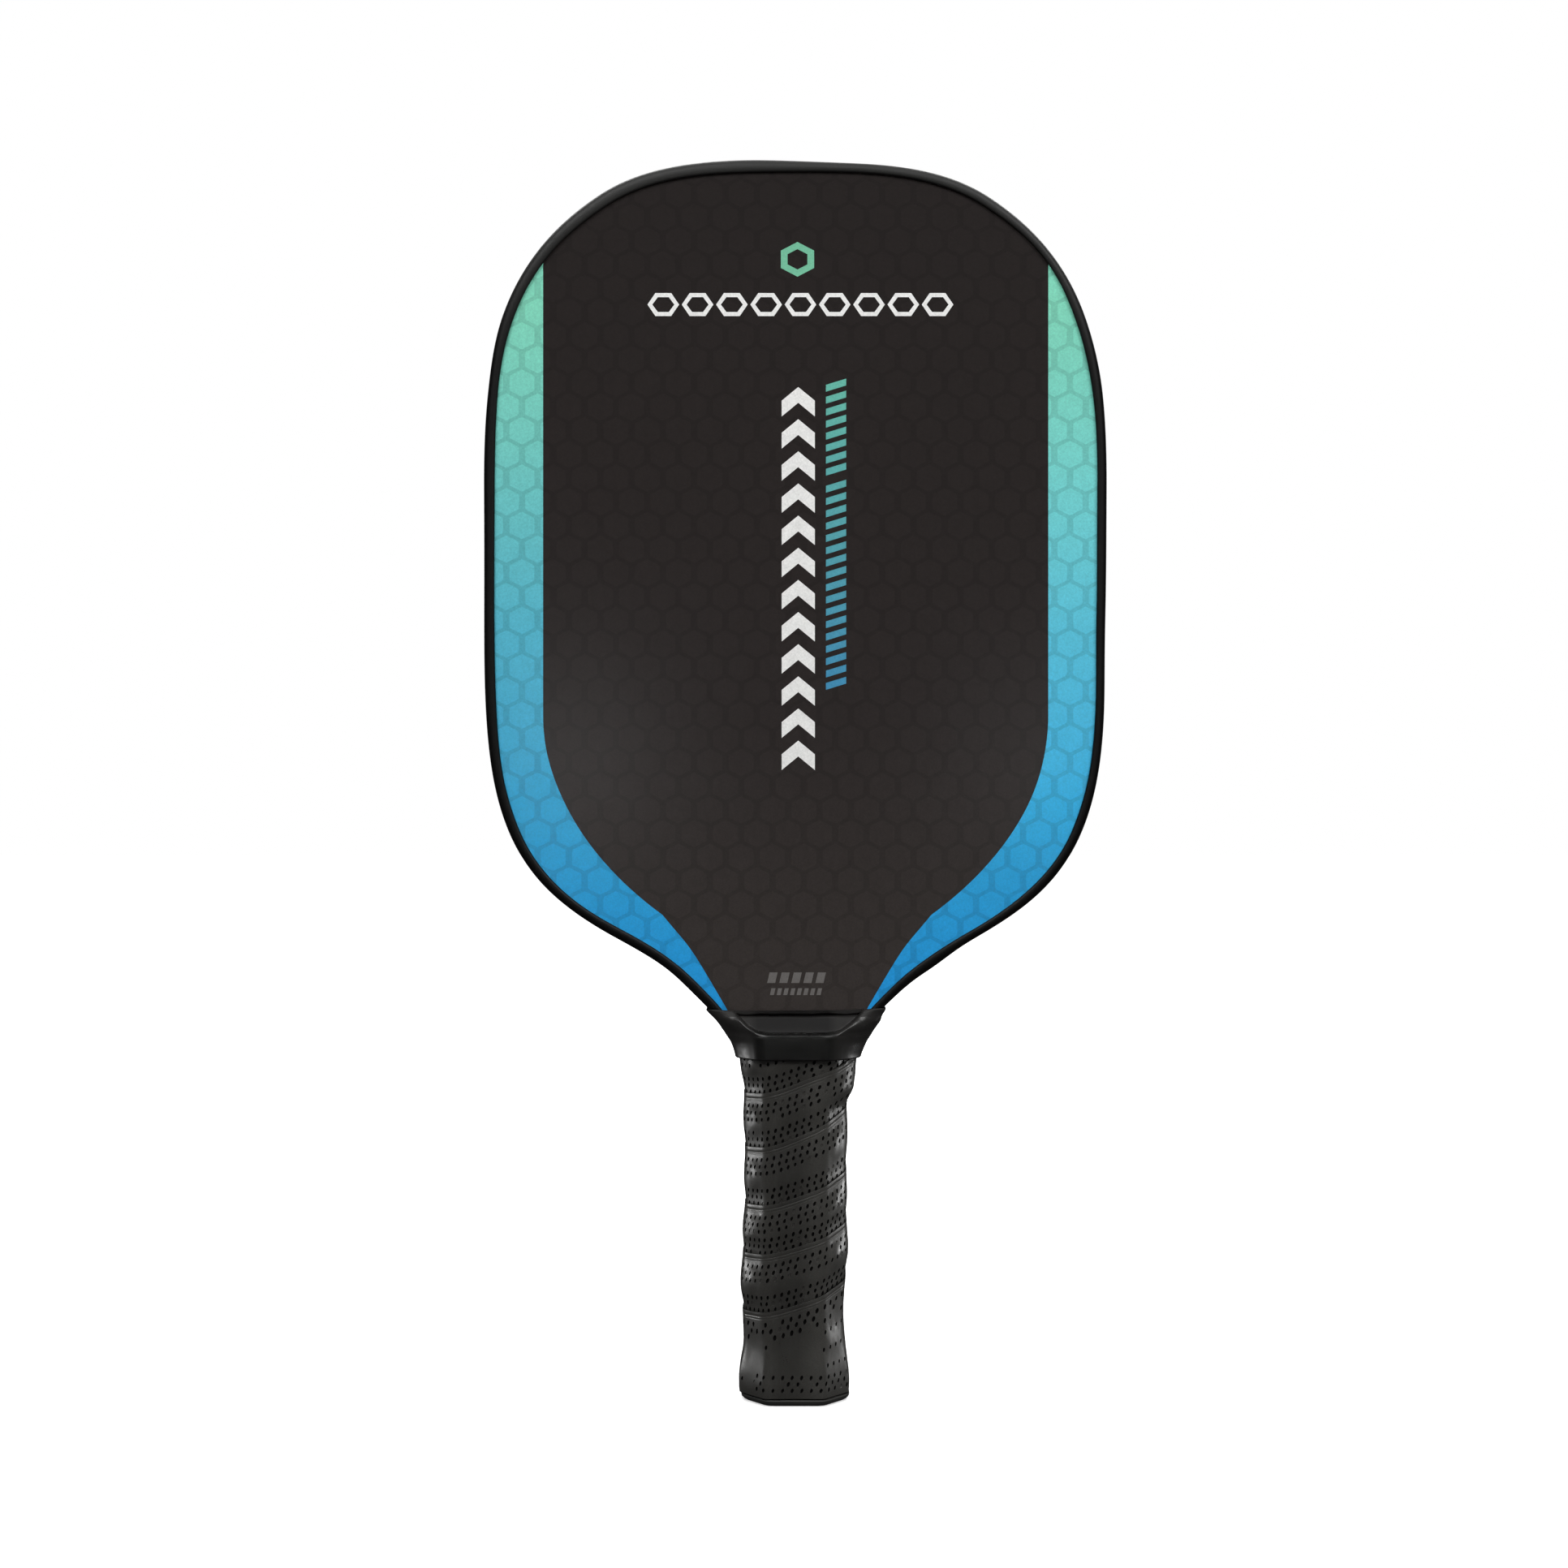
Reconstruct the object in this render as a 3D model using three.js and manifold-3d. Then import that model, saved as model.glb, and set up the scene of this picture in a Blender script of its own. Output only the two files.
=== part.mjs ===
// A wide-body pickleball paddle, as the assembly it is made from. A honeycomb sandwich panel forms the
// head, and its tongue runs down inside the handle between two pallets. An edge guard is glued round the
// head, a butt cap closes the handle, a cushion grip is wound round it, and a stretched collar covers
// the throat.
// Millimetres. +Z runs from the butt to the tip, the front face looks along -Y, and the origin is the
// middle of the butt cap's flat end.
import * as THREE from "three";
import { mergeVertices } from "three/addons/utils/BufferGeometryUtils.js";
import Module from "manifold-3d";

const wasm = await Module();
wasm.setup();

// ---------------------------------------------------------------- driving dimensions

const overallLength = 400;
const headHalfWidth = 100;
const throatHeight = 127.3; // where the collar's top edge crosses the edge guard
const filmLowest = 127.8;

// The panel's layers, from the middle outwards.
const coreThickness = 12.5;
const bondFilmThickness = 0.2;
const faceSheetThickness = 0.5;
const graphicFilmThickness = 0.2;
const coreFace = coreThickness / 2;
const bondFace = coreFace + bondFilmThickness;
const sheetFace = bondFace + faceSheetThickness;
const graphicFace = sheetFace + graphicFilmThickness;

// The honeycomb's cells, which are a little squashed along Z, as the expanded core is.
const cellPitch = 18;
const cellSquash = 0.85;
const cellWall = 1.2;
const coreRim = 3;

// The edge guard, a U-shaped channel. Inset is measured inwards from its outermost edge.
const guardWall = 1.5;
const guardLipInset = 3.6;
const guardHalfThickness = 8.4;
const guardChannelHalf = sheetFace + 0.05;
const panelInset = 2.2;
const glueOuterInset = 1.6;
const glueInnerInset = 2.1;
const glueHalfWidth = 5.5;
const edgeSteps = 84;

// The tongue that the handle is built on.
const tongueHalfWidth = 12.5;
const tongueEnd = 4;
const tongueShoulder = 106;
const neckHalfWidth = 13;
const neckHeight = 116.8;

// The eight-sided handle under the grip.
const handleHalfWidth = 14;
const handleHalfDepth = 12.7;
const frontFlatShare = 0.58; // of the half width
const sideFlatShare = 0.39; // of the half depth
const clearance = 0.3;
const palletArcRadius = 31;
const palletArcLowest = 118.7;

// The grip's helical wrap, and the adhesive strip behind it.
const wrapPitch = 17.3;
const stripWidth = 9;
const stripThickness = 0.2;
const stripStandOff = 0.15;
const stripTurns = 4;
const stripStart = 19.5;

// The butt cap.
const capRimTop = 2.1;
const capFloorTop = 3.2;
const capSkirtTop = 17;
const badgeRadius = 9.7;
const badgeThickness = 0.6;
const badgeDepth = 0.3;

// The two staples that hold the cap to the pallets.
const stapleWidth = 10;
const stapleWire = 0.9;
const stapleCrown = 0.5;
const stapleLeg = 5;
const stapleHeight = 11;

// ---------------------------------------------------------------- shared helpers

// The right half of the head's outer edge, from the tip to its end under the collar, as [x, z] Bezier points.
const rightEdge = [
  [[0, overallLength], [25, overallLength], [46, 399.6], [63, 388.2]],
  [[63, 388.2], [92, 368.6], [headHalfWidth, 344.8], [headHalfWidth, 295]],
  [[headHalfWidth, 295], [headHalfWidth, 205], [103.4, 176.3], [57.3, 150.3]],
  [[57.3, 150.3], [41.6, 141.4], [37.4, 137.6], [27.6, throatHeight]],
  [[27.6, throatHeight], [25.6, 125.1], [24.2, 123.3], [23.1, 121.6]],
];

// The whole outer edge as one path, up the left side, over the tip and down the right side.
function edgePath() {
  const path = new THREE.CurvePath();
  const addCurve = (points, side) =>
    path.add(new THREE.CubicBezierCurve3(...points.map(([x, z]) => new THREE.Vector3(side * x, 0, z))));
  for (const curve of [...rightEdge].reverse()) addCurve([...curve].reverse(), -1);
  for (const curve of rightEdge) addCurve(curve, 1);
  return path;
}

const edge = edgePath();
const edgePoints = edge.getSpacedPoints(edgeSteps);
const edgeInward = edge.computeFrenetFrames(edgeSteps, false).binormals;

// The outer edge moved inwards by inset, as [x, z] points from the left throat to the right one.
function insetEdge(inset) {
  return edgePoints.map((point, i) => {
    const moved = point.clone().addScaledVector(edgeInward[i], inset);
    return new THREE.Vector2(moved.x, moved.z);
  });
}

// A flat plate between two depths. Both faces get the exact depth, so that stacked layers touch without overlap.
function plate(shape, yNear, yFar) {
  const geometry = new THREE.ExtrudeGeometry(shape, { depth: 1, bevelEnabled: false, curveSegments: 4 });
  geometry.rotateX(Math.PI / 2);
  const position = geometry.getAttribute("position");
  for (let i = 0; i < position.count; i++) position.setY(i, position.getY(i) < -0.5 ? yNear : yFar);
  return geometry;
}

// A constant section swept along the head's edge. Section points are [depth, inset].
function sweepAlongEdge(section) {
  const shape = new THREE.Shape(section.map(([depth, inset]) => new THREE.Vector2(depth, inset)));
  return new THREE.ExtrudeGeometry(shape, { steps: edgeSteps, bevelEnabled: false, extrudePath: edge });
}

// A level ring round the handle's axis, from the [x, y] corners of one quarter, front flat first.
function ring(z, quarter) {
  const right = [...quarter.map(([x, y]) => [x, -y]), ...[...quarter].reverse()];
  return [...right, ...right.map(([x, y]) => [-x, -y])].map(([x, y]) => new THREE.Vector3(x, y, z));
}

// An eight-sided ring.
const octagon = (z, halfWidth, halfDepth) =>
  ring(z, [[halfWidth * frontFlatShare, halfDepth], [halfWidth, halfDepth * sideFlatShare]]);

// A closed solid through rings that have the same number of points, from the lowest to the highest.
function loft(rings) {
  const count = rings[0].length;
  const positions = rings.flat().flatMap((p) => [p.x, p.y, p.z]);
  const index = [];
  for (let level = 0; level + 1 < rings.length; level++) {
    for (let k = 0; k < count; k++) {
      const a = level * count + k;
      const b = level * count + ((k + 1) % count);
      index.push(a, b, b + count, a, b + count, a + count);
    }
  }
  const top = (rings.length - 1) * count;
  for (let k = 1; k + 1 < count; k++) {
    index.push(0, k + 1, k);
    index.push(top, top + k, top + k + 1);
  }
  return new THREE.BufferGeometry()
    .setAttribute("position", new THREE.Float32BufferAttribute(positions, 3))
    .setIndex(index);
}

const box = (width, depth, height, x, y, z) =>
  new THREE.BoxGeometry(width, depth, height).translate(x, y, z);

// manifold-3d solids, for cutting and joining.
function toSolid(geometry) {
  const bare = geometry.clone();
  bare.deleteAttribute("normal");
  bare.deleteAttribute("uv");
  const merged = mergeVertices(bare, 1e-4);
  return new wasm.Manifold(
    new wasm.Mesh({
      numProp: 3,
      vertProperties: merged.getAttribute("position").array,
      triVerts: new Uint32Array(merged.index.array),
    }),
  );
}

function toGeometry(solid) {
  const mesh = solid.getMesh();
  return new THREE.BufferGeometry()
    .setAttribute("position", new THREE.BufferAttribute(mesh.vertProperties, 3))
    .setIndex(new THREE.BufferAttribute(mesh.triVerts, 1));
}

const cut = (geometry, ...tools) =>
  toGeometry(tools.reduce((solid, tool) => solid.subtract(toSolid(tool)), toSolid(geometry)));

const join = (...geometries) => toGeometry(geometries.map(toSolid).reduce((a, b) => a.add(b)));

// ---------------------------------------------------------------- materials

const material = (color, roughness, metalness = 0) =>
  new THREE.MeshStandardMaterial({ color, roughness, metalness });

const materials = {
  corePlastic: material(0xd8dcd6, 0.55),
  bondFilm: material(0xb9a77a, 0.4),
  carbonSheet: material(0x1c1c1e, 0.5),
  printedFilm: material(0x2c2827, 0.55),
  guardPlastic: material(0x141414, 0.4),
  foamTape: material(0xe4e2dc, 0.8),
  palletFoam: material(0xc9a86a, 0.8),
  capPlastic: material(0x161616, 0.45),
  badgePlastic: material(0x3a3a3a, 0.35),
  stapleSteel: material(0xb8babd, 0.35, 1),
  gripSkin: material(0x302f2d, 0.6),
  adhesiveStrip: material(0xe8e4d4, 0.5),
  finishingTape: material(0x1a1a1a, 0.35),
  collarRubber: material(0x151515, 0.25),
};

// ---------------------------------------------------------------- the sandwich panel

// The panel's outline with its tongue. Spare makes it that much larger all round, for cutting clearance.
function panelShape(spare = 0) {
  const rim = insetEdge(panelInset - spare);
  const half = tongueHalfWidth + spare;
  const shoulder = tongueShoulder - spare;
  const end = tongueEnd - spare;
  const neck = neckHalfWidth + spare;
  const neckZ = neckHeight - spare;
  const shape = new THREE.Shape(rim);
  shape.quadraticCurveTo(neck, neckZ, half, shoulder);
  shape.lineTo(half, end);
  shape.lineTo(-half, end);
  shape.lineTo(-half, shoulder);
  shape.quadraticCurveTo(-neck, neckZ, rim[0].x, rim[0].y);
  return shape;
}

function isInside(point, polygon) {
  let inside = false;
  for (let i = 0, j = polygon.length - 1; i < polygon.length; j = i++) {
    const a = polygon[i];
    const b = polygon[j];
    const crosses = a.y > point.y !== b.y > point.y;
    if (crosses && point.x < ((b.x - a.x) * (point.y - a.y)) / (b.y - a.y) + a.x) inside = !inside;
  }
  return inside;
}

// The corners of a pointed-top cell round a centre, with radius measured to a corner before squashing.
function cellCorners(x, z, radius) {
  return [...Array(6).keys()].map((k) => {
    const angle = (k * Math.PI) / 3 + Math.PI / 6;
    return new THREE.Vector2(x + radius * Math.cos(angle), z + radius * Math.sin(angle) * cellSquash);
  });
}

// The core: an open hexagonal cell wherever a whole one fits inside the rim.
function honeycombCore() {
  const shape = panelShape();
  const limit = panelShape(-coreRim).extractPoints(4).shape;
  const cellRadius = (cellPitch - cellWall) / Math.sqrt(3);
  const rowPitch = ((cellPitch * Math.sqrt(3)) / 2) * cellSquash;
  const rows = Math.ceil(overallLength / rowPitch);
  const columns = Math.ceil(headHalfWidth / cellPitch);
  for (let row = 0; row < rows; row++) {
    for (let column = -columns; column <= columns; column++) {
      const x = (column + (row % 2) / 2) * cellPitch;
      const corners = cellCorners(x, row * rowPitch + tongueEnd, cellRadius);
      if (corners.every((corner) => isInside(corner, limit))) shape.holes.push(new THREE.Path(corners));
    }
  }
  return plate(shape, -coreFace, coreFace);
}

// The printed film, which stops just inside the guard's lips and level with the collar's top edge.
function filmShape() {
  const lipGap = 0.3;
  const rim = insetEdge(guardLipInset + lipGap);
  const first = rim.findIndex((point) => point.y > filmLowest);
  const share = (filmLowest - rim[first - 1].y) / (rim[first].y - rim[first - 1].y);
  const corner = rim[first - 1].clone().lerp(rim[first], share);
  const kept = rim.filter((point) => point.y > filmLowest);
  return new THREE.Shape([corner, ...kept, new THREE.Vector2(-corner.x, corner.y)]);
}

// ---------------------------------------------------------------- the edge guard and its glue

function edgeGuard() {
  const outside = [
    [guardChannelHalf, guardLipInset],
    [guardHalfThickness - 0.6, guardLipInset],
    [guardHalfThickness, guardLipInset - 0.7],
    [guardHalfThickness, 1.4],
    [guardHalfThickness - 1, 0.35],
    [5, 0],
  ];
  const inside = [[guardChannelHalf, guardWall]];
  const mirrored = (points) => points.map(([depth, inset]) => [-depth, inset]).reverse();
  return sweepAlongEdge([...outside, ...mirrored(outside), ...mirrored(inside), ...inside]);
}

const edgeGlue = () =>
  sweepAlongEdge([
    [glueHalfWidth, glueInnerInset],
    [glueHalfWidth, glueOuterInset],
    [-glueHalfWidth, glueOuterInset],
    [-glueHalfWidth, glueInnerInset],
  ]);

// ---------------------------------------------------------------- the handle

// [z, half width, half depth] of the bare handle. It widens under the collar to meet the neck.
const palletStations = [
  [tongueEnd, handleHalfWidth, handleHalfDepth],
  [98.5, handleHalfWidth, handleHalfDepth],
  [106, 15, 12.8],
  [112, 15.9, 12.9],
  [116, 16.4, 12.6],
  [119, 17.6, 11.6],
  [124.5, 18.6, 9],
];

// Both pallets in one piece: a shell with a pocket for the tongue and neck, and a scooped top.
function palletShell() {
  const outside = loft(palletStations.map((station) => octagon(...station)));
  const pocket = plate(panelShape(clearance), -guardChannelHalf, guardChannelHalf);
  const scoop = new THREE.CylinderGeometry(palletArcRadius, palletArcRadius, 60, 64).translate(
    0,
    0,
    palletArcLowest + palletArcRadius,
  );
  return cut(outside, pocket, scoop);
}

// One pallet. Side is -1 at the front and 1 at the back, and a glue line is left between the two.
function pallet(side) {
  const reach = 80;
  const glueLine = 0.15;
  const otherHalf = box(reach, reach, overallLength, 0, side * (glueLine - reach / 2), overallLength / 2);
  return cut(palletShell(), otherHalf, stapleHole(side));
}

// ---------------------------------------------------------------- the butt cap, badge and staples

const capRimHalfWidth = 17.3;
const capRimHalfDepth = 15.6;
const capSkirtHalfWidth = 15.6;
const capSkirtHalfDepth = 14.2;

function buttCap() {
  const outside = loft([
    octagon(0, capRimHalfWidth - 0.8, capRimHalfDepth - 0.8),
    octagon(0.8, capRimHalfWidth, capRimHalfDepth),
    octagon(capRimTop, capRimHalfWidth, capRimHalfDepth),
    octagon(capRimTop + 0.05, capSkirtHalfWidth, capSkirtHalfDepth),
    octagon(capSkirtTop, handleHalfWidth + 0.9, handleHalfDepth + 0.9),
  ]);
  const cavity = loft([
    octagon(capFloorTop, handleHalfWidth + clearance, handleHalfDepth + clearance),
    octagon(capSkirtTop + 1, handleHalfWidth + clearance, handleHalfDepth + clearance),
  ]);
  const recess = new THREE.CylinderGeometry(badgeRadius + clearance, badgeRadius + clearance, 2, 32)
    .rotateX(Math.PI / 2)
    .translate(0, 0, badgeDepth + badgeThickness + 0.1 - 1);
  return cut(outside, cavity, recess, stapleHole(-1), stapleHole(1));
}

const capBadge = () =>
  new THREE.CylinderGeometry(badgeRadius, badgeRadius, badgeThickness, 32)
    .rotateX(Math.PI / 2)
    .translate(0, 0, badgeDepth + badgeThickness / 2);

// The depth of the cap's outer face at the staples, which taper in with the skirt.
const stapleFace = 13.75;

// A staple's crown and two legs, each made larger all round by spare.
function stapleParts(side, spare) {
  const crownMiddle = side * (stapleFace - stapleCrown / 2);
  const legMiddle = side * (stapleFace - stapleLeg / 2);
  const legX = (stapleWidth - stapleWire) / 2;
  const grow = 2 * spare;
  const legs = [-legX, legX].map((x) =>
    box(stapleWire + grow, stapleLeg + grow, stapleWire + grow, x, legMiddle, stapleHeight),
  );
  return [
    box(stapleWidth + grow, stapleCrown + grow, stapleWire + grow, 0, crownMiddle, stapleHeight),
    ...legs,
  ];
}

const staple = (side) => join(...stapleParts(side, 0));
const stapleHole = (side) => join(...stapleParts(side, 0.2));

// ---------------------------------------------------------------- the grip, its strip and tape

// [z, half width, half depth] of the wrapped grip's outside.
const gripStations = [
  [capRimTop + 0.2, 17.5, 15.8],
  [7, 17.7, 16],
  [13, 17.1, 15.6],
  [20, 16.2, 14.9],
  [28, 15.9, 14.6],
  [45, 16.2, 14.8],
  [95, 16.3, 14.8],
  [100, 16.7, 14.9],
  [105, 17.5, 15],
  [112, 18.2, 15],
  [116, 18.4, 14.9],
];
const gripTop = gripStations[gripStations.length - 1][0];
const gripGap = stripThickness + 2 * stripStandOff;

function cushionGrip() {
  const overPallets = palletStations
    .filter(([z]) => z > capSkirtTop + 5 && z < gripTop + 1)
    .map(([z, halfWidth, halfDepth]) => [z, halfWidth + gripGap, halfDepth + gripGap]);
  const bore = [
    [capRimTop - 1, capSkirtHalfWidth + clearance, capSkirtHalfDepth + clearance],
    [capRimTop + 0.2, capSkirtHalfWidth + clearance, capSkirtHalfDepth + clearance],
    [capSkirtTop, handleHalfWidth + 1.2, handleHalfDepth + 1.2],
    [capSkirtTop + 2, handleHalfWidth + gripGap, handleHalfDepth + gripGap],
    ...overPallets,
    [gripTop + 2, 17.4, 13],
  ];
  const rings = (stations) => stations.map((station) => octagon(...station));
  return cut(loft(rings(gripStations)), loft(rings(bore)));
}

// The double-sided strip behind the grip: a thin ribbon wound round the pallets' eight flats.
function adhesiveStrip() {
  const near = stripStandOff;
  const far = stripStandOff + stripThickness;
  const inner = octagon(0, handleHalfWidth + near, handleHalfDepth + near);
  const outer = octagon(0, handleHalfWidth + far, handleHalfDepth + far);
  const girth = inner.reduce((sum, p, k) => sum + p.distanceTo(inner[(k + 1) % 8]), 0);
  const rings = [];
  let along = 0;
  for (let step = 0; step <= stripTurns * 8; step++) {
    const k = step % 8;
    const low = new THREE.Vector3(0, 0, stripStart + (along / girth) * wrapPitch);
    const high = low.clone().setZ(low.z + stripWidth);
    const section = [[inner, low], [inner, high], [outer, high], [outer, low]];
    rings.push(section.map(([ring, offset]) => ring[k].clone().add(offset)));
    along += inner[k].distanceTo(inner[(k + 1) % 8]);
  }
  return loft(rings);
}

// The finishing tape round the grip's top end, under the collar.
function finishingTape() {
  const round = (z, grow) => octagon(z, 18.35 + grow, 15 + grow);
  const outside = loft([round(112.8, 0.4), round(115.6, 0.45)]);
  const bore = loft([round(112, 0.1), round(116, 0.15)]);
  return cut(outside, bore);
}

// ---------------------------------------------------------------- the throat collar

// [z, wall, quarter] of the collar, where quarter has the [x, y] corners of its front flat, its shoulder
// over the guard's lip and its side flat.
const collarStations = [
  [111.6, 0.9, [[11.6, 16.6], [15.8, 11.5], [20, 6.4]]],
  [116.2, 0.9, [[12.3, 16.5], [16.8, 11.6], [21.3, 6.3]]],
  [118.4, 0.9, [[14.5, 15.2], [19.4, 11.2], [22.2, 6.2]]],
  [121, 0.8, [[16, 13.8], [22.6, 10], [24.2, 6.8]]],
  [123.2, 0.75, [[18, 12.3], [23.8, 9.9], [25.7, 6.8]]],
  [125.4, 0.7, [[20, 10.9], [25.3, 9.8], [27.3, 6.8]]],
  [127.8, 0.65, [[22, 9.7], [27, 9.7], [29, 6.8]]],
];

// The corners of a ring drawn in by the collar's wall.
const drawnIn = ([front, shoulder, side], wall) => [
  [front[0] - wall * 0.4, front[1] - wall],
  [shoulder[0] - wall * 0.7, shoulder[1] - wall * 0.7],
  [side[0] - wall, side[1] - wall * 0.4],
];

function throatCollar() {
  const outside = collarStations.map(([z, , quarter]) => ring(z, quarter));
  const bore = collarStations.map(([z, wall, quarter]) => ring(z, drawnIn(quarter, wall)));
  const shifted = (points, dz) => points.map((p) => p.clone().setZ(p.z + dz));
  const opening = [shifted(bore[0], -1), ...bore, shifted(bore[bore.length - 1], 1)];
  return cut(loft(outside), loft(opening));
}

// ---------------------------------------------------------------- the assembly

const paddle = new THREE.Group();

function add(name, geometry, surface) {
  const mesh = new THREE.Mesh(geometry, surface);
  mesh.name = name;
  paddle.add(mesh);
}

add("honeycomb_core", honeycombCore(), materials.corePlastic);
for (const [place, side] of [["front", -1], ["back", 1]]) {
  const layer = (shape, from, to) => plate(shape, Math.min(side * from, side * to), Math.max(side * from, side * to));
  add(`${place}_bond_film`, layer(panelShape(), coreFace, bondFace), materials.bondFilm);
  add(`${place}_face_sheet`, layer(panelShape(), bondFace, sheetFace), materials.carbonSheet);
  add(`${place}_graphic_film`, layer(filmShape(), sheetFace, graphicFace), materials.printedFilm);
  add(`${place}_handle_pallet`, pallet(side), materials.palletFoam);
  add(`${place}_cap_staple`, staple(side), materials.stapleSteel);
}
add("edge_guard", edgeGuard(), materials.guardPlastic);
add("edge_guard_glue_tape", edgeGlue(), materials.foamTape);
add("butt_cap", buttCap(), materials.capPlastic);
add("butt_cap_badge", capBadge(), materials.badgePlastic);
add("cushion_grip", cushionGrip(), materials.gripSkin);
add("grip_adhesive_strip", adhesiveStrip(), materials.adhesiveStrip);
add("grip_finishing_tape", finishingTape(), materials.finishingTape);
add("throat_collar", throatCollar(), materials.collarRubber);

export default paddle;
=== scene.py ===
import math

import bpy
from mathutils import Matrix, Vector, noise
from mathutils.geometry import delaunay_2d_cdt


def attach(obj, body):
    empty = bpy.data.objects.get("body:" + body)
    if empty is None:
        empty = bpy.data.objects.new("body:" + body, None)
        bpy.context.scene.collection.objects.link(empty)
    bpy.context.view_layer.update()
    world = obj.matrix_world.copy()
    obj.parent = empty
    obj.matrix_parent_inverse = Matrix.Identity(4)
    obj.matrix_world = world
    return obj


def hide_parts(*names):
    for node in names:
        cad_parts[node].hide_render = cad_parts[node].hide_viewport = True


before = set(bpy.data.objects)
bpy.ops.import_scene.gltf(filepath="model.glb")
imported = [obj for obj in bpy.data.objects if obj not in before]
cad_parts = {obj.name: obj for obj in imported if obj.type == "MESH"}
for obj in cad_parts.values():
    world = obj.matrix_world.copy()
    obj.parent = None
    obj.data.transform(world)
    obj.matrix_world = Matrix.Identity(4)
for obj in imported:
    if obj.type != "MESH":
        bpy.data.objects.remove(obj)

MM = 0.001
TAU = 2 * math.pi
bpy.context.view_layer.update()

# The paddle stands upright as the CAD model does: +Z to the tip, front face towards -Y. The shapes below
# are worked out in millimetres, and new_mesh() turns them into metres.


# ------------------------------------------------------------------ meshes

def new_mesh(name, verts, faces, face_slots=None, sharp=40):
    mesh = bpy.data.meshes.new(name)
    mesh.from_pydata([(x * MM, y * MM, z * MM) for x, y, z in verts], [], faces)
    if face_slots:
        mesh.polygons.foreach_set("material_index", face_slots)
    mesh.validate()
    mesh.shade_smooth()
    mesh.set_sharp_from_angle(angle=math.radians(sharp))
    piece = bpy.data.objects.new(name, mesh)
    bpy.context.scene.collection.objects.link(piece)
    return piece


def ring_faces(rings, count):
    """The faces between so many closed rings, of count points each."""
    faces = []
    for level in range(rings - 1):
        for k in range(count):
            a, b = level * count + k, level * count + (k + 1) % count
            faces.append((a, b, b + count, a + count))
    return faces


def show(piece, slot, materials, *nodes):
    """The piece takes the place of CAD nodes, and rides on the one body."""
    for material in materials:
        piece.data.materials.append(material)
    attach(piece, "root")
    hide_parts(*nodes)
    return piece


def lerp(a, b, t):
    return a + (b - a) * t


def smooth(t, low=0.0, high=1.0):
    t = min(1.0, max(0.0, (t - low) / (high - low)))
    return t * t * (3 - 2 * t)


def curve_through(table):
    """A function of z through (z, value) points, with a smooth slope at each."""
    zs = [p[0] for p in table]
    vs = [p[1] for p in table]
    slopes = []
    for i in range(len(table)):
        a, b = max(0, i - 1), min(len(table) - 1, i + 1)
        slopes.append((vs[b] - vs[a]) / (zs[b] - zs[a]))

    def value(z):
        z = min(zs[-1], max(zs[0], z))
        i = 0
        while i < len(zs) - 2 and z > zs[i + 1]:
            i += 1
        h = zs[i + 1] - zs[i]
        t = (z - zs[i]) / h
        return (
            (2 * t**3 - 3 * t**2 + 1) * vs[i]
            + (t**3 - 2 * t**2 + t) * h * slopes[i]
            + (3 * t**2 - 2 * t**3) * vs[i + 1]
            + (t**3 - t**2) * h * slopes[i + 1]
        )

    return value


def bezier(points, t):
    u = 1 - t
    weights = (u**3, 3 * u * u * t, 3 * u * t * t, t**3)
    return tuple(sum(w * p[k] for w, p in zip(weights, points)) for k in (0, 1))


def running_lengths(points):
    """How long a polyline is up to each of its points."""
    lengths = [0.0]
    for a, b in zip(points, points[1:]):
        lengths.append(lengths[-1] + math.dist(a, b))
    return lengths


def evenly(points, count):
    """Points that cut a polyline into count equal lengths, with both of its ends."""
    lengths = running_lengths(points)
    out, i = [], 0
    for k in range(count + 1):
        want = lengths[-1] * k / count
        while i < len(points) - 2 and lengths[i + 1] < want:
            i += 1
        span = lengths[i + 1] - lengths[i]
        t = 0 if span == 0 else (want - lengths[i]) / span
        out.append(tuple(lerp(a, b, t) for a, b in zip(points[i], points[i + 1])))
    return out


def spaced_by(points, step):
    """Points along a polyline, evenly spaced by about step."""
    return evenly(points, max(1, round(running_lengths(points)[-1] / step)))


# ------------------------------------------------------------------ the head's outline

# The outline's right half as Bezier curves, from the tip to the throat.
RIGHT_EDGE = (
    ((0, 400), (25, 400), (46, 399.6), (63, 388.2)),
    ((63, 388.2), (92, 368.6), (100, 344.8), (100, 295)),
    ((100, 295), (100, 205), (103.4, 176.3), (57.3, 150.3)),
    ((57.3, 150.3), (41.6, 141.4), (37.4, 137.6), (27.6, 127.3)),
    ((27.6, 127.3), (25.6, 125.1), (24.2, 123.3), (23.1, 121.6)),
)
EDGE_STEP = 1.2

right_half = spaced_by([bezier(c, t / 60) for c in RIGHT_EDGE for t in range(61)], EDGE_STEP)
EDGE = [(-x, z) for x, z in reversed(right_half)] + right_half[1:]


def edge_inward():
    """The direction across the outline, towards the panel's middle, at each of its points."""
    out = []
    for i in range(len(EDGE)):
        a, b = EDGE[max(0, i - 1)], EDGE[min(len(EDGE) - 1, i + 1)]
        dx, dz = b[0] - a[0], b[1] - a[1]
        size = math.hypot(dx, dz)
        out.append((dz / size, -dx / size))
    return out


INWARD = edge_inward()


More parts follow.
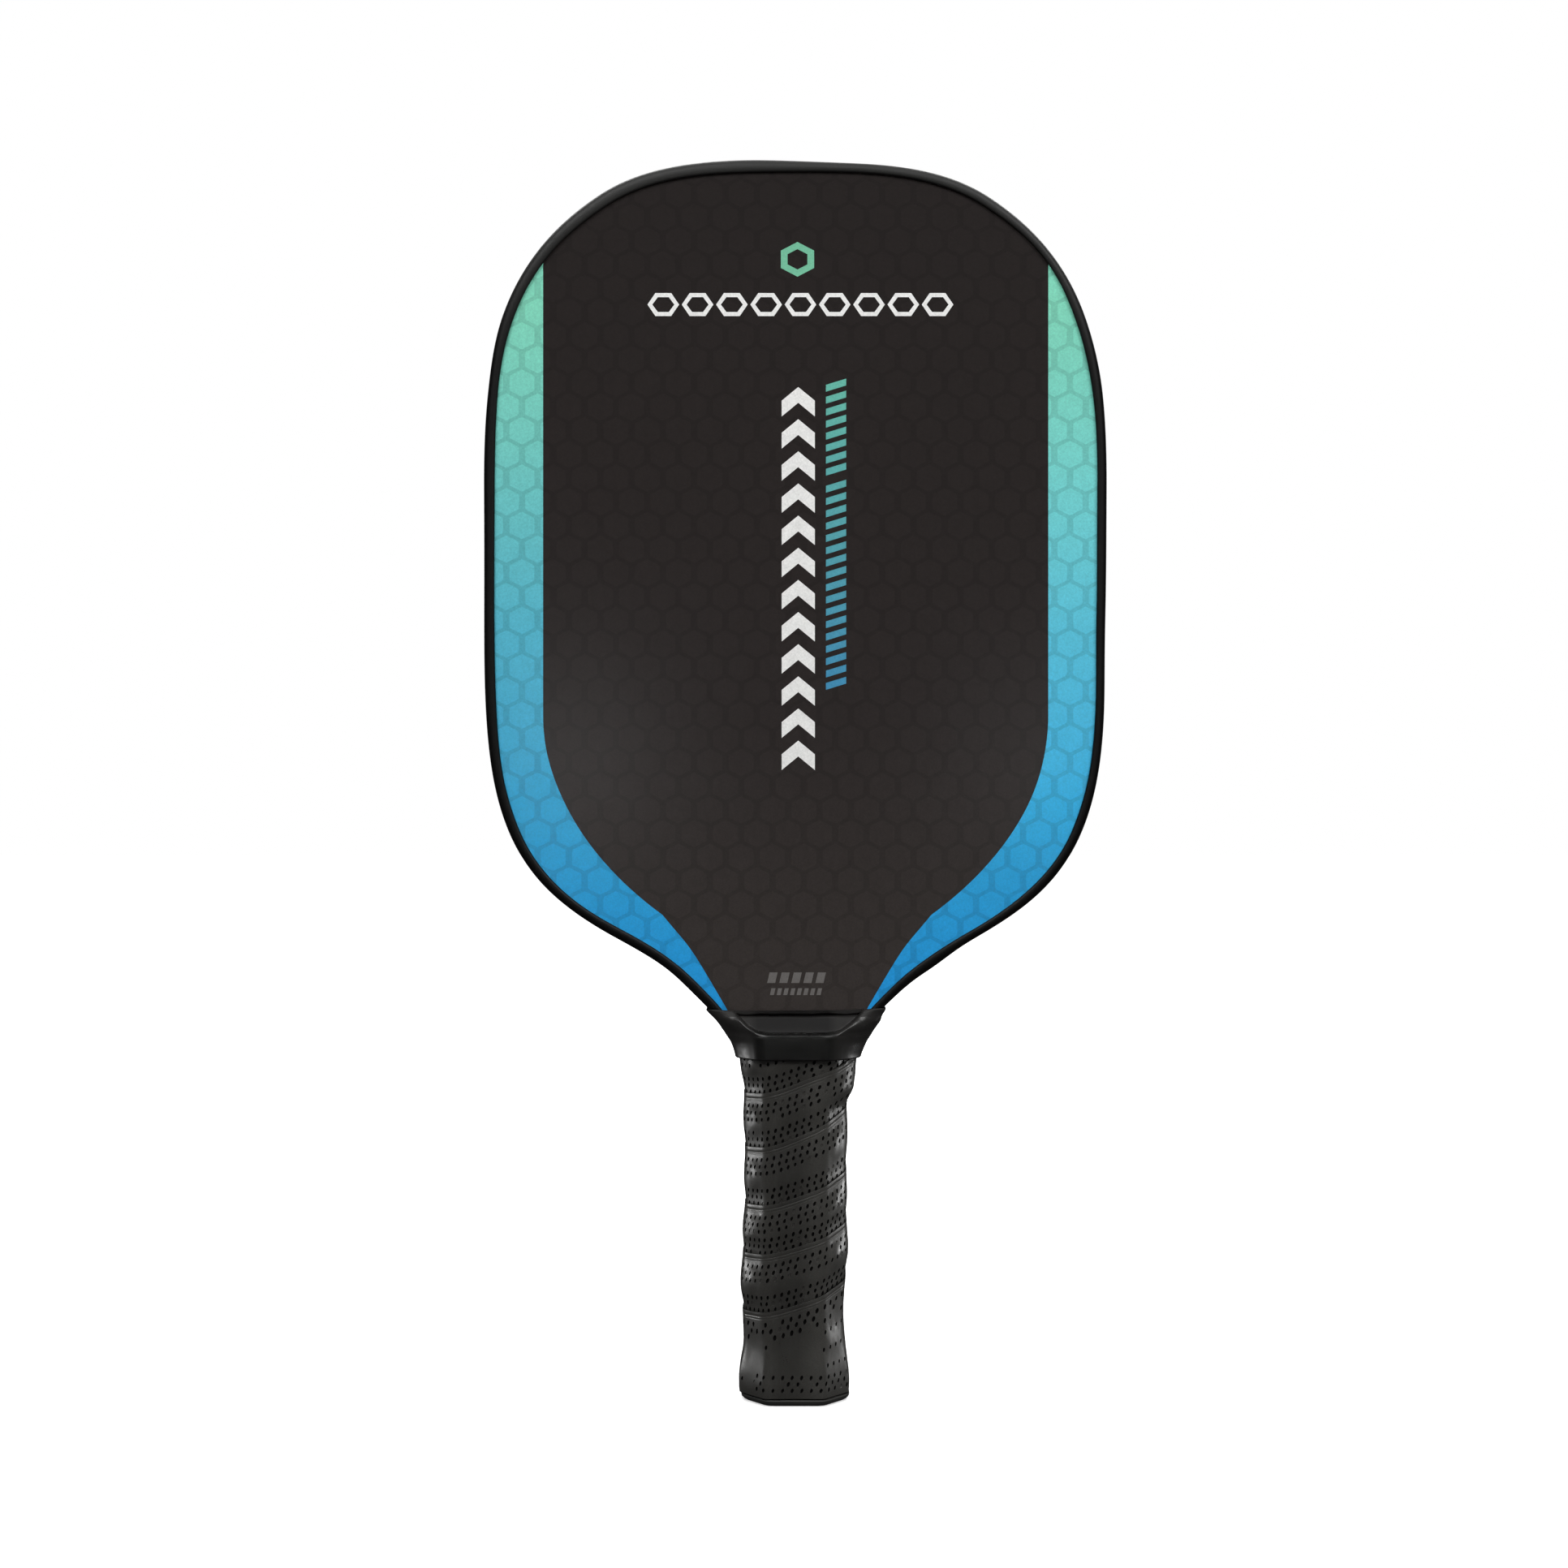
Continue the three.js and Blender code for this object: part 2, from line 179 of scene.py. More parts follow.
# How far the guard's lip, and the film under it, reach out past their even inset, at each side.
LEFT_REACH = curve_through(
    [(121, 0.5), (142, 0.55), (151, 0.9), (158, 1.3), (165, 1.4), (177, 1.2), (189, 0.8), (200, 0.7),
     (212, 0.45), (224, 0.2), (240, 0.1), (300, 0), (318, 0.2), (330, 0.45), (342, 0.45), (353, 0.25),
     (370, 0), (400, 0)]
)
RIGHT_REACH = curve_through(
    [(121, 0.8), (130, 0.95), (135, 1.1), (141, 1.45), (146, 1.5), (158, 1.4), (177, 1.4), (189, 1.15),
     (200, 1.15), (212, 0.95), (224, 0.65), (236, 0.25), (248, 0.05), (262, 0.2), (295, 0.4), (318, 0.4),
     (330, 0.2), (342, -0.1), (353, -0.3), (370, 0), (400, 0)]
)


def reach(x, z):
    """How far they reach out at a place, which goes over from one side's to the other's in the middle."""
    return lerp(LEFT_REACH(z), RIGHT_REACH(z), smooth(x, -20, 20))


def film_rim(inset):
    """The outline, moved in by inset and out again by the reach."""
    out = []
    for (x, z), (nx, nz) in zip(EDGE, INWARD):
        here = inset - reach(x, z)
        out.append((x + nx * here, z + nz * here))
    return out


# ------------------------------------------------------------------ node trees

class Tree:
    """A short way to write a material's node tree."""

    def __init__(self, name):
        self.material = bpy.data.materials.new(name)
        self.material.use_nodes = True
        self.nodes = self.material.node_tree.nodes
        self.links = self.material.node_tree.links
        self.bsdf = self.nodes["Principled BSDF"]
        self.object = self.nodes.new("ShaderNodeTexCoord").outputs["Object"]

    def put(self, socket, value):
        if isinstance(value, bpy.types.NodeSocket):
            self.links.new(value, socket)
        else:
            socket.default_value = value

    def math(self, operation, *values):
        node = self.nodes.new("ShaderNodeMath")
        node.operation = operation
        for socket, value in zip(node.inputs, values):
            self.put(socket, value)
        return node.outputs[0]

    def plus(self, a, b):
        return self.math("ADD", a, b)

    def times(self, a, b):
        return self.math("MULTIPLY", a, b)

    def vector(self, operation, *values):
        node = self.nodes.new("ShaderNodeVectorMath")
        node.operation = operation
        for socket, value in zip(node.inputs, values):
            self.put(socket, value)
        return node.outputs[0]

    def split(self, vector):
        node = self.nodes.new("ShaderNodeSeparateXYZ")
        self.put(node.inputs[0], vector)
        return node.outputs

    def brighter(self, colour, gain):
        """The colour times the gain."""
        node = self.nodes.new("ShaderNodeCombineXYZ")
        for socket in node.inputs:
            self.put(socket, gain)
        return self.vector("MULTIPLY", colour, node.outputs[0])

    def noise(self, scale, detail=2.0, roughness=0.5, vector=None):
        node = self.nodes.new("ShaderNodeTexNoise")
        self.put(node.inputs["Vector"], self.object if vector is None else vector)
        node.inputs["Scale"].default_value = scale
        node.inputs["Detail"].default_value = detail
        node.inputs["Roughness"].default_value = roughness
        return node.outputs[0]

    def cells(self, scale):
        """The distance to the nearest edge between random cells."""
        node = self.nodes.new("ShaderNodeTexVoronoi")
        node.feature = "DISTANCE_TO_EDGE"
        self.put(node.inputs["Vector"], self.object)
        node.inputs["Scale"].default_value = scale
        return node.outputs["Distance"]

    def span(self, value, low, high, to_low=0.0, to_high=1.0, smoothstep=False):
        node = self.nodes.new("ShaderNodeMapRange")
        node.interpolation_type = "SMOOTHSTEP" if smoothstep else "LINEAR"
        for socket, v in zip(node.inputs, (value, low, high, to_low, to_high)):
            self.put(socket, v)
        return node.outputs[0]

    def ramp(self, value, *stops):
        node = self.nodes.new("ShaderNodeValToRGB")
        self.put(node.inputs[0], value)
        elements = node.color_ramp.elements
        while len(elements) < len(stops):
            elements.new(0.5)
        for element, (position, colour) in zip(elements, stops):
            element.position = position
            element.color = (*colour, 1)
        return node.outputs[0]

    def mix(self, factor, a, b, blend="MIX"):
        node = self.nodes.new("ShaderNodeMix")
        node.data_type = "RGBA"
        node.blend_type = blend
        for socket, value in ((node.inputs[0], factor), (node.inputs[6], a), (node.inputs[7], b)):
            if isinstance(value, tuple):
                value = (*value, 1)
            self.put(socket, value)
        return node.outputs[2]

    def bump(self, height, strength, distance, under=None):
        node = self.nodes.new("ShaderNodeBump")
        node.inputs["Strength"].default_value = strength
        node.inputs["Distance"].default_value = distance
        self.put(node.inputs["Height"], height)
        if under is not None:
            self.put(node.inputs["Normal"], under)
        return node.outputs[0]

    def finish(self, colour=None, roughness=None, normal=None, **fixed):
        for name, value in (("Base Color", colour), ("Roughness", roughness), ("Normal", normal)):
            if value is not None:
                if isinstance(value, tuple):
                    value = (*value, 1)
                self.put(self.bsdf.inputs[name], value)
        for name, value in fixed.items():
            self.bsdf.inputs[name.replace("_", " ")].default_value = value
        return self.material


def linear(r, g, b):
    """A colour given as 0 to 255 display values, as the shader wants it."""
    return tuple(
        c / 12.92 if c <= 0.04045 else ((c + 0.055) / 1.055) ** 2.4 for c in (r / 255, g / 255, b / 255)
    )


# ------------------------------------------------------------------ the printed film's materials

CELL_X = 10.106 * MM     # pitch across
CELL_SQUASH = 0.874      # rows are closer together than on a regular honeycomb
CELL_ORIGIN = (2.75, 7.05)    # x and z of one cell's middle
LINE_HALF = 0.68 * MM    # half the printed line's width


def cell_lines(tree):
    """1 on the printed honeycomb's lines, 0 inside its cells."""
    x, _, z = tree.split(tree.object)
    x = tree.math("SUBTRACT", x, CELL_ORIGIN[0] * MM)
    z = tree.math("DIVIDE", tree.math("SUBTRACT", z, CELL_ORIGIN[1] * MM), CELL_SQUASH)
    row = CELL_X * math.sqrt(3)

    def nearest(offset):
        """How far out of the nearest cell's middle, of every other row, a place is."""
        parts = []
        for value, period, shift in ((x, CELL_X, offset / 2), (z, row, offset / 2)):
            moved = tree.plus(tree.math("DIVIDE", value, period), shift)
            from_middle = tree.math("SUBTRACT", moved, tree.math("ROUND", moved))
            parts.append(tree.times(from_middle, period))
        qx, qz = (tree.math("ABSOLUTE", p) for p in parts)
        slanted = tree.plus(tree.times(qx, 0.5), tree.times(qz, 0.866))
        upright = tree.plus(qx, 0.35 * MM)
        return tree.math("SMOOTH_MAX", slanted, upright, 0.8 * MM)

    distance = tree.math("MINIMUM", nearest(0), nearest(1))
    edge = CELL_X / 2 - LINE_HALF
    return tree.span(distance, edge - 0.1 * MM, edge + 0.12 * MM, smoothstep=True)


def printed(name, colour_of, lines_depth, roughness, specular):
    """Ink on the film's fine grit, under a thin clear coat, with the honeycomb's lines a little darker."""
    tree = Tree(name)
    lines = cell_lines(tree)
    grit = tree.noise(1900, detail=3, roughness=0.65)
    mottle = tree.noise(260, detail=4, roughness=0.6)
    cloud = tree.noise(14, detail=3)
    base = colour_of(tree)
    shade = tree.times(tree.span(grit, 0.25, 0.75, 0.86, 1.13), tree.span(mottle, 0.2, 0.8, 0.95, 1.05))
    shade = tree.times(shade, tree.span(lines, 0, 1, 1, lines_depth))
    shade = tree.times(shade, tree.span(cloud, 0.3, 0.7, 0.98, 1.02))
    colour = tree.brighter(base, shade)
    rough = tree.span(grit, 0.3, 0.7, roughness - 0.05, roughness + 0.06)
    rough = tree.plus(rough, tree.span(lines, 0, 1, 0, 0.03))
    weave = tree.bump(tree.plus(tree.times(grit, 0.7), tree.times(mottle, 0.5)), 0.35, 0.00006)
    normal = tree.bump(lines, 0.12, 0.00003, weave)
    tree.put(tree.bsdf.inputs["Coat Normal"], weave)
    return tree.finish(
        colour, rough, normal, Specular_IOR_Level=specular, Coat_Weight=0.25, Coat_Roughness=0.19
    )


def band_colour(tree):
    """Blue at the throat to mint near the tip, with painted light that makes it a little lighter on the
    right.
    """
    x, _, z = tree.split(tree.object)
    colour = tree.ramp(
        tree.span(z, 0.130, 0.370),
        (0.0, linear(28, 151, 222)),
        (0.26, linear(46, 167, 216)),
        (0.5, linear(84, 184, 207)),
        (0.74, linear(115, 204, 195)),
        (0.93, linear(130, 217, 189)),
    )
    # Painted light: a pool of light painted on the band's right side, over its middle height.
    right = tree.times(tree.span(x, 0.04, 0.07), tree.span(z, 0.165, 0.205, smoothstep=True))
    right = tree.times(right, tree.span(z, 0.35, 0.28, smoothstep=True))
    gain = tree.span(right, 0, 1, 1, 1.185)
    return tree.brighter(colour, gain)


def bars_colour(tree):
    z = tree.split(tree.object)[2]
    return tree.ramp(tree.span(z, 0.229, 0.328), (0.0, linear(62, 142, 184)), (1.0, linear(100, 184, 166)))


# Painted sheen: the dark print is lighter towards the throat, standing in for a broad sheen of light on the
# panel's lower part.
def dark_colour(tree):
    z = tree.split(tree.object)[2]
    return tree.ramp(
        tree.span(z, 0.130, 0.390),
        (0.0, linear(56, 51, 49)),
        (0.35, linear(42, 37, 36)),
        (1.0, linear(33, 28, 27)),
    )


def plain_colour(*rgb):
    def colour(tree):
        node = tree.nodes.new("ShaderNodeRGB")
        node.outputs[0].default_value = (*linear(*rgb), 1)
        return node.outputs[0]
    return colour


DARK, BAND, WHITE, BARS, MINT, GREY = range(6)
film_materials = [
    printed("film_dark", dark_colour, 0.86, 0.55, 0.1),
    printed("film_band", band_colour, 0.82, 0.5, 0.2),
    printed("film_white", plain_colour(238, 238, 236), 1.0, 0.5, 0.25),
    printed("film_words", bars_colour, 1.0, 0.5, 0.25),
    printed("film_mint", plain_colour(114, 190, 156), 1.0, 0.5, 0.25),
    printed("film_grey", plain_colour(104, 101, 99), 1.0, 0.5, 0.25),
]


# ------------------------------------------------------------------ the printed film

FILM_FACE = 7.15
FILM_BACK = 6.97
FILM_INSET = 2.5     # the guard's lip covers the film's rim
FILM_LOW = 122.5     # the film ends under the collar
BAND_TOP, BAND_LOW = 372.0, 122.9
BAND_OUT = 140       # beyond the film's rim
BAND_EDGE = (
    ((81.5, 222), (81.9, 194.4), (64.0, 171.7), (43.4, 156.8)),
    ((43.4, 156.8), (33.7, 145.0), (36.0, 149.4), (23.2, 127.4)),
)


def slanted_bar(x0, x1, z0, z1, slant):
    """A bar whose right end is raised by slant."""
    return [(x0, z0), (x1, z0 + slant), (x1, z1 + slant), (x0, z1)]


def hexagon(x, z, radius_x, radius_z, turn=0.0):
    return [
        (x + radius_x * math.cos(TAU * k / 6 + turn), z + radius_z * math.sin(TAU * k / 6 + turn))
        for k in range(6)
    ]


def chevron(x0, x1, z, rise, stroke):
    middle = (x0 + x1) / 2
    low = [(x0, z), (middle, z + rise), (x1, z)]
    return low + [(x, level + stroke) for x, level in reversed(low)]


def dashes(count, x0, pitch, width, z0, z1, slant):
    """A row of short upright dashes that lean to the right."""
    out = []
    for k in range(count):
        x = x0 + pitch * k
        out.append((GREY, [(x, z0), (x + width, z0), (x + width + slant, z1), (x + slant, z1)]))
    return out


def marks():
    """Plain shapes in the print: (material slot, outline), with a later one over an earlier one."""
    out = []
    out.append((MINT, hexagon(0.7, 368.3, 6.2, 5.6, TAU / 12)))
    out.append((DARK, hexagon(0.7, 368.3, 3.7, 3.3, TAU / 12)))
    count = 9
    for k in range(count):
        x = lerp(-42.6, 45.9, k / (count - 1))
        out.append((WHITE, hexagon(x, 353.7, 5.1, 4.3)))
        out.append((DARK, hexagon(x, 353.7, 3.55, 2.75)))
    count = 12
    for k in range(count):
        z = lerp(203.5, 317.6, k / (count - 1))
        out.append((WHITE, chevron(-4.4, 6.3, z, 4.4, 5.1)))
    for low, high, count in ((229.4, 293.0, 17), (298.5, 325.6, 8)):
        for k in range(count):
            z = lerp(low, high, k / (count - 1))
            out.append((BARS, slanted_bar(9.9, 16.4, z, z + 2.2, 2.0)))
    out += dashes(5, -9.1, 3.9, 2.6, 134.8, 138.2, 0.8)
    out += dashes(8, -8.2, 2.15, 1.3, 130.9, 133.1, 0.5)
    return out


def inside(point, polygon):
    """Whether the point is in the polygon, by how many of its sides are to the right of it."""
    x, z = point
    hit = False
    for (ax, az), (bx, bz) in zip(polygon, polygon[1:] + polygon[:1]):
        if (az > z) != (bz > z) and x < (bx - ax) * (z - az) / (bz - az) + ax:
            hit = not hit
    return hit


def film(name, side):
    """The film as one sheet, cut along the edge of every printed shape. Side is -1 in front, 1 behind."""
    outline = [p for p in film_rim(FILM_INSET) if p[1] > FILM_LOW][:-1]
    band_points = [(81.5, BAND_TOP), (81.5, 368.0)] + spaced_by([(81.5, 368.0), (81.5, 222.0)], 4.0)[1:]
    for curve in BAND_EDGE:
        band_points += [bezier(curve, t / 28) for t in range(1, 29)]
    band_points.append((20.6, BAND_LOW))
    shapes = marks()
    verts, edges = [], []

    def loop(points, closed=True):
        start = len(verts)
        verts.extend(Vector(p) for p in points)
        count = len(points)
        edges.extend((start + k, start + (k + 1) % count) for k in range(count if closed else count - 1))

    loop(outline)
    zones = []
    for sign in (-1, 1):
        boundary = [(sign * x + lerp(0.12, 0.5, smooth(-z, -215, -190)), z) for x, z in band_points]
        loop(boundary, closed=False)
        zones.append(boundary + [(sign * BAND_OUT, BAND_LOW), (sign * BAND_OUT, BAND_TOP)])
    for _, outline_points in shapes:
        loop(outline_points)
    flat, _, triangles, *_ = delaunay_2d_cdt(verts, edges, [], 0, 1e-4)

    faces, slots = [], []
    for triangle in triangles:
        centre = tuple(sum(flat[i][k] for i in triangle) / 3 for k in (0, 1))
        if not inside(centre, outline):
            continue
        index = BAND if any(inside(centre, zone) for zone in zones) else DARK
        for slot, shape in shapes:
            if inside(centre, shape):
                index = slot
        order = list(triangle)
        a, b, c = (flat[i] for i in order)
        area = (b[0] - a[0]) * (c[1] - a[1]) - (c[0] - a[0]) * (b[1] - a[1])
        if (area > 0) != (side < 0):
            order.reverse()
        faces.append(order)
        slots.append(index)
    mirror = -side  # seen from its own side, the back reads as the front does
    points = [(mirror * p[0], side * FILM_FACE, p[1]) for p in flat]
    if mirror < 0:
        faces = [list(reversed(f)) for f in faces]
    piece = new_mesh(name, points, faces, slots)
    solid = piece.modifiers.new("thickness", "SOLIDIFY")
    solid.thickness = (FILM_FACE - FILM_BACK) * MM
    solid.offset = -1
    piece.data.shade_flat()
    return show(piece, "graphic_film", film_materials, name.replace("printed", "graphic"))


film("front_printed_film", -1)
film("back_printed_film", 1)


# ------------------------------------------------------------------ the edge guard

def guard_material():
    tree = Tree("guard_plastic")
    fine = tree.noise(900, detail=3, roughness=0.6)
    broad = tree.noise(45, detail=3)
    scuff = tree.noise(420, detail=2, vector=tree.vector("MULTIPLY", tree.object, (1.0, 0.12, 1.0)))
    tint = tree.mix(tree.span(broad, 0.35, 0.65), linear(5, 5, 5), linear(9, 9, 9))
    z = tree.split(tree.object)[2]
    # Painted light: towards the tip the guard turns lighter grey, as light from above falls on its top.
    tint = tree.mix(tree.span(z, 0.33, 0.395, smoothstep=True), tint, linear(44, 44, 43))
    worn = tree.span(scuff, 0.66, 0.8, 0, 0.12)
    colour = tree.mix(worn, tint, linear(52, 52, 52))
    rough = tree.plus(tree.span(fine, 0.3, 0.7, 0.44, 0.54), tree.span(scuff, 0.6, 0.8, 0, 0.08))
    return tree.finish(colour, rough, tree.bump(fine, 0.2, 0.00004), Specular_IOR_Level=0.22)


LIP = 2.9    # how far the guard's lip comes in over the film


def edge_guard():
    """A rounded channel swept round the head. It bulges out a little, most at the shoulders."""
    half = [  # inset, depth, from the lip's inner end round to the middle of the outer wall
        (3.0, 7.24), (3.05, 7.7), (2.9, 8.12), (2.6, 8.36), (2.1, 8.46), (1.55, 8.4), (1.05, 8.15),
        (0.66, 7.75), (0.38, 7.2), (0.2, 6.5), (0.1, 5.6), (0.05, 4.2), (0.02, 2.4), (0.0, 0.8),
    ]
    section = half + [(i, -d) for i, d in reversed(half)]
    section += [(1.3, -7.24), (1.2, -6.9), (1.2, 6.9), (1.3, 7.24)]
    swell = curve_through(
        [(121, 0.8), (128, 1.2), (134, 1.45), (142, 1.2), (152, 1.45), (166, 1.85), (178, 1.75),
         (191, 1.5), (217, 1.1), (260, 0.65), (300, 0.8), (343, 0.9), (367, 0.65), (384, 0.8),
         (392, 0.75), (400, 0.45)]
    )
    verts = []
    for k, ((x, z), (nx, nz)) in enumerate(zip(EDGE, INWARD)):
        wide = 1 + 0.17 * smooth(z, 372, 396) - 0.08 * smooth(-z, -150, -128)
        wave = 0.03 * math.sin(k * 0.11) + 0.02 * math.sin(k * 0.037 + 1)
        lopsided = 0.5 * smooth(z, 325, 350)
        bulge = swell(z) - lopsided * smooth(x, -20, 20) + lopsided * smooth(-x, -20, 20)
        bulge -= 0.5 * math.exp(-((z - 241) / 20) ** 2) * smooth(x, 0, 50)
        bulge += 1.15 * math.exp(-((z - 142) / 5.5) ** 2) * smooth(x, 0, 20)
        bulge -= 0.25 * math.exp(-((z - 136) / 7) ** 2) * smooth(-x, 0, 20)
        for inset, depth in section:
            inward = inset * wide + (wave if inset > 2 else 0) - bulge * max(0.0, 1 - inset / LIP)
            inward -= reach(x, z) * min(1.0, inset / LIP)
            verts.append((x + nx * inward, depth, z + nz * inward))
    count = len(section)
    faces = ring_faces(len(EDGE), count)
    faces.append(tuple(reversed(range(count))))
    faces.append(tuple(range((len(EDGE) - 1) * count, len(EDGE) * count)))
    piece = new_mesh("head_edge_guard", verts, [tuple(reversed(f)) for f in faces], sharp=50)
    return show(piece, "guard_plastic", [guard_material()], "edge_guard")


edge_guard()


# ------------------------------------------------------------------ the handle's section

SECTION_WIDTH = 16.3     # half of it, as SECTION_DEPTH is
SECTION_DEPTH = 14.6
SECTION_STEPS = 720


def eight_sided(w, d, front_share):
    """The corners of a section, from the left side past the front."""
    f, s = w * front_share, d * 0.39
    return [(-w, -s), (-f, -d), (f, -d), (w, -s), (w, s), (f, d), (-f, d), (-w, s)]


def filleted(corners, radius, steps=9):
    """A closed outline with each corner rounded."""
    out = []
    count = len(corners)
    for k in range(count):
        p = Vector(corners[k])
        a, b = Vector(corners[k - 1]), Vector(corners[(k + 1) % count])
        a, b = (a - p).normalized(), (b - p).normalized()
        half = a.angle(b) / 2
        back = radius / math.tan(half)
        centre = p + (a + b).normalized() * (radius / math.sin(half))
        start, end = p + a * back - centre, p + b * back - centre
        turn = start.angle(end)
        for j in range(steps + 1):
            t = j / steps
            d = (start * math.sin((1 - t) * turn) + end * math.sin(t * turn)) / math.sin(turn)
            out.append(tuple(centre + d))
    return out


def section_lookup(radius):
    """Points and outward normals the whole way round the section, and its girth."""
    left = (-SECTION_WIDTH, 0.0)
    corners = eight_sided(SECTION_WIDTH, SECTION_DEPTH, 0.535)
    outline = [left] + filleted(corners, radius) + [left]
    points = evenly(outline, SECTION_STEPS)
    frames = []
    for k in range(SECTION_STEPS + 1):
        a, b = points[(k - 3) % SECTION_STEPS], points[(k + 3) % SECTION_STEPS]
        dx, dy = b[0] - a[0], b[1] - a[1]
        size = math.hypot(dx, dy)
        frames.append((*points[k], dy / size, -dx / size))
    return frames, running_lengths(outline)[-1]


CRISP, _ = section_lookup(1.8)      # at the butt, where the cap holds the strip in shape
SOFT, GIRTH = section_lookup(6.0)   # above it


def section_at(share, z):
    """x, y and the outward normal at a share of the way round, from the left side past the front."""
    k = (share % 1.0) * SECTION_STEPS
    i = int(k)
    soft = smooth(z, 9, 26)
    out = []
    for a, b, c, d in zip(CRISP[i], CRISP[i + 1], SOFT[i], SOFT[i + 1]):
        out.append(lerp(lerp(a, b, k - i), lerp(c, d, k - i), soft))
    return out


# ------------------------------------------------------------------ the cushion grip

GRIP_LOW = 2.2
GRIP_TOP = 115.0
# Half the grip's width and depth, and how far it leans to the right, by z.
grip_width = curve_through(
    [(2, 17.6), (5, 17.65), (8, 17.55), (11.5, 17.1), (15, 16.5), (20, 16.0), (28, 15.9), (34, 16.35),
     (40, 16.6), (47, 16.8), (55, 16.7), (62, 16.4), (70, 16.35), (80, 16.35), (90, 16.5), (97, 16.55),
     (102, 16.75), (107, 17.3), (112, 17.9), (116, 18.2)]
)
grip_depth = curve_through(
    [(2, 15.75), (6, 15.85), (11.5, 15.4), (20, 14.75), (30, 14.55), (60, 14.5), (95, 14.5), (103, 14.7),
     (112, 14.95), (116, 15.0)]
)
grip_lean = curve_through(
    [(0, -0.25), (10, -0.3), (20, -0.35), (28, -0.7), (36, -0.85), (42, -0.6), (52, 0), (100, 0)]
)
FRONT_LUMPS = ((12.2, 20.4, 0.45), (-11.6, 109.6, 0.5), (11.0, 106.8, 0.5))    # x, z and height
FOLDS = ((0.3, 103.9), (0.22, 105.6))    # the climb of each fold line by the collar, and its z at x = 12
SEAM_HEIGHTS = (29.2, 47.7, 63.4, 81.9, 99.2, 116.6, 134.0)    # at the left side
SEAM_CLIMBS = (17.5, 18.0, 19.5, 23.5, 23.0, 23.0)    # mm in each half turn, where it climbs
COLUMN = 0.56                      # mm, a quarter of the holes' spacing
COLUMNS = round(GIRTH / COLUMN)    # in one turn
TURNS = 7.1
LOW_ROW, LOW_PITCH = 0.5, 2.05     # the lowest row of holes above the lower seam, and the next rows
TOP_ROW, TOP_PITCH = 4.0, 2.2      # the highest row of holes below the upper seam, and the next rows
START_SHIFT = 2.65                 # the first turn's rows start this much higher, over the butt

# Distances from the seam, and heights: the strip's lower edge is tucked under the turn below, or ends over
# the butt. Its upper edge, which has two fine grooves along it, lies over the turn above.
TUCKED = ((-1.5, -1.1), (-1.2, -0.7), (-0.9, -0.4))
TUCKED_AT_BUTT = ((0.0, -1.5), (0.12, -0.6), (0.55, 0.1))
ROLLED = ((2.6, 0.0), (2.35, 0.0), (2.15, -0.06), (1.95, 0.0), (1.55, 0.02), (1.35, -0.06), (1.15, 0.01),
          (0.5, 0.02), (0.05, 0.0), (0.0, -0.05), (0.02, -0.55), (0.25, -1.1))


def ramp_up(x):
    """0 below 0 and x above it, with a soft bend."""
    return (x + math.hypot(x, 0.12)) / 2


def seam(turn):
    """The height of the wrap's seam after so many turns, where a whole number is at the left side.

    The seam runs level over the left side and climbs over the front, further on some turns than on others.
    """
    if turn < 1:
        start = min(1.0, max(0.0, (turn - 0.5) / 0.5))
        return GRIP_LOW + (SEAM_HEIGHTS[0] - GRIP_LOW) * (1 - (1 - start) ** 2.2)
    k = min(int(turn), len(SEAM_CLIMBS))
    low, high = SEAM_HEIGHTS[k - 1:k + 1]
    climb_start = 0.34
    climb_end = climb_start + (high - low) / SEAM_CLIMBS[k - 1]

    def climb(u):
        return ramp_up(u - climb_start) - ramp_up(u - climb_end)

    return lerp(low, high, (climb(2 * (turn - k)) - climb(0)) / (climb(2) - climb(0)))


def grip_point(turn, z, height):
    """A place on the grip that stands out by height, besides the lumps of a wrap done by hand."""
    x, y, nx, ny = section_at(turn, z)
    lumps = 0.22 * noise.noise(Vector((x * 0.08, y * 0.08, z * 0.1)))
    lumps += 0.06 * noise.noise(Vector((x * 0.3, y * 0.3, z * 0.35 + 9)))
    rumple = smooth(z, 104, 111) * smooth(x, 7, 13) * smooth(-y, 0, 4)
    lumps += 0.3 * rumple * noise.noise(Vector((x * 0.5, y * 0.5, z * 0.9)))
    for climb, foot in FOLDS:
        lumps += 0.28 * rumple * math.exp(-((z - foot - climb * (x - 12)) / 0.35) ** 2)
    if y < 0:
        for x0, z0, tall in FRONT_LUMPS:
            if abs(z - z0) < 8:
                lumps += tall * math.exp(-((x - x0) ** 2 + (z - z0) ** 2) / 9)
    h = height + lumps
    lean = grip_lean(z) + 2.0 * smooth(z, 94.5, 101.5) * smooth(x, 4, 15)
    x = x * grip_width(z) / SECTION_WIDTH + nx * h + lean
    y = y * grip_depth(z) / SECTION_DEPTH + ny * h
    return x, y, z


def on_chamfer(turn, z):
    """1 in the middle of the section's four slanted sides, 0 on its flat ones."""
    x, y, _, _ = section_at(turn, z)
    return math.exp(-((abs(x) - 12.4) ** 2 + (abs(y) - 10.1) ** 2) / 9.5)


def skin_height(turn, z, low, high, start):
    """How far the strip stands out at a height between its seams. It is fullest on the slanted sides."""
    t = (z - low) / max(0.1, high - low)
    bottom = lerp(-0.16, 0.2, start)
    height = lerp(bottom, 0.42, smooth(t, 0, 0.45)) - 0.3 * smooth(t, 0.5, 0.95) * (1 - start)
    pillow = smooth(t, 0.15, 0.6) * (1 - smooth(t, 0.62, 0.86)) * (1 - start)
    return height + 0.55 * pillow * on_chamfer(turn, z)


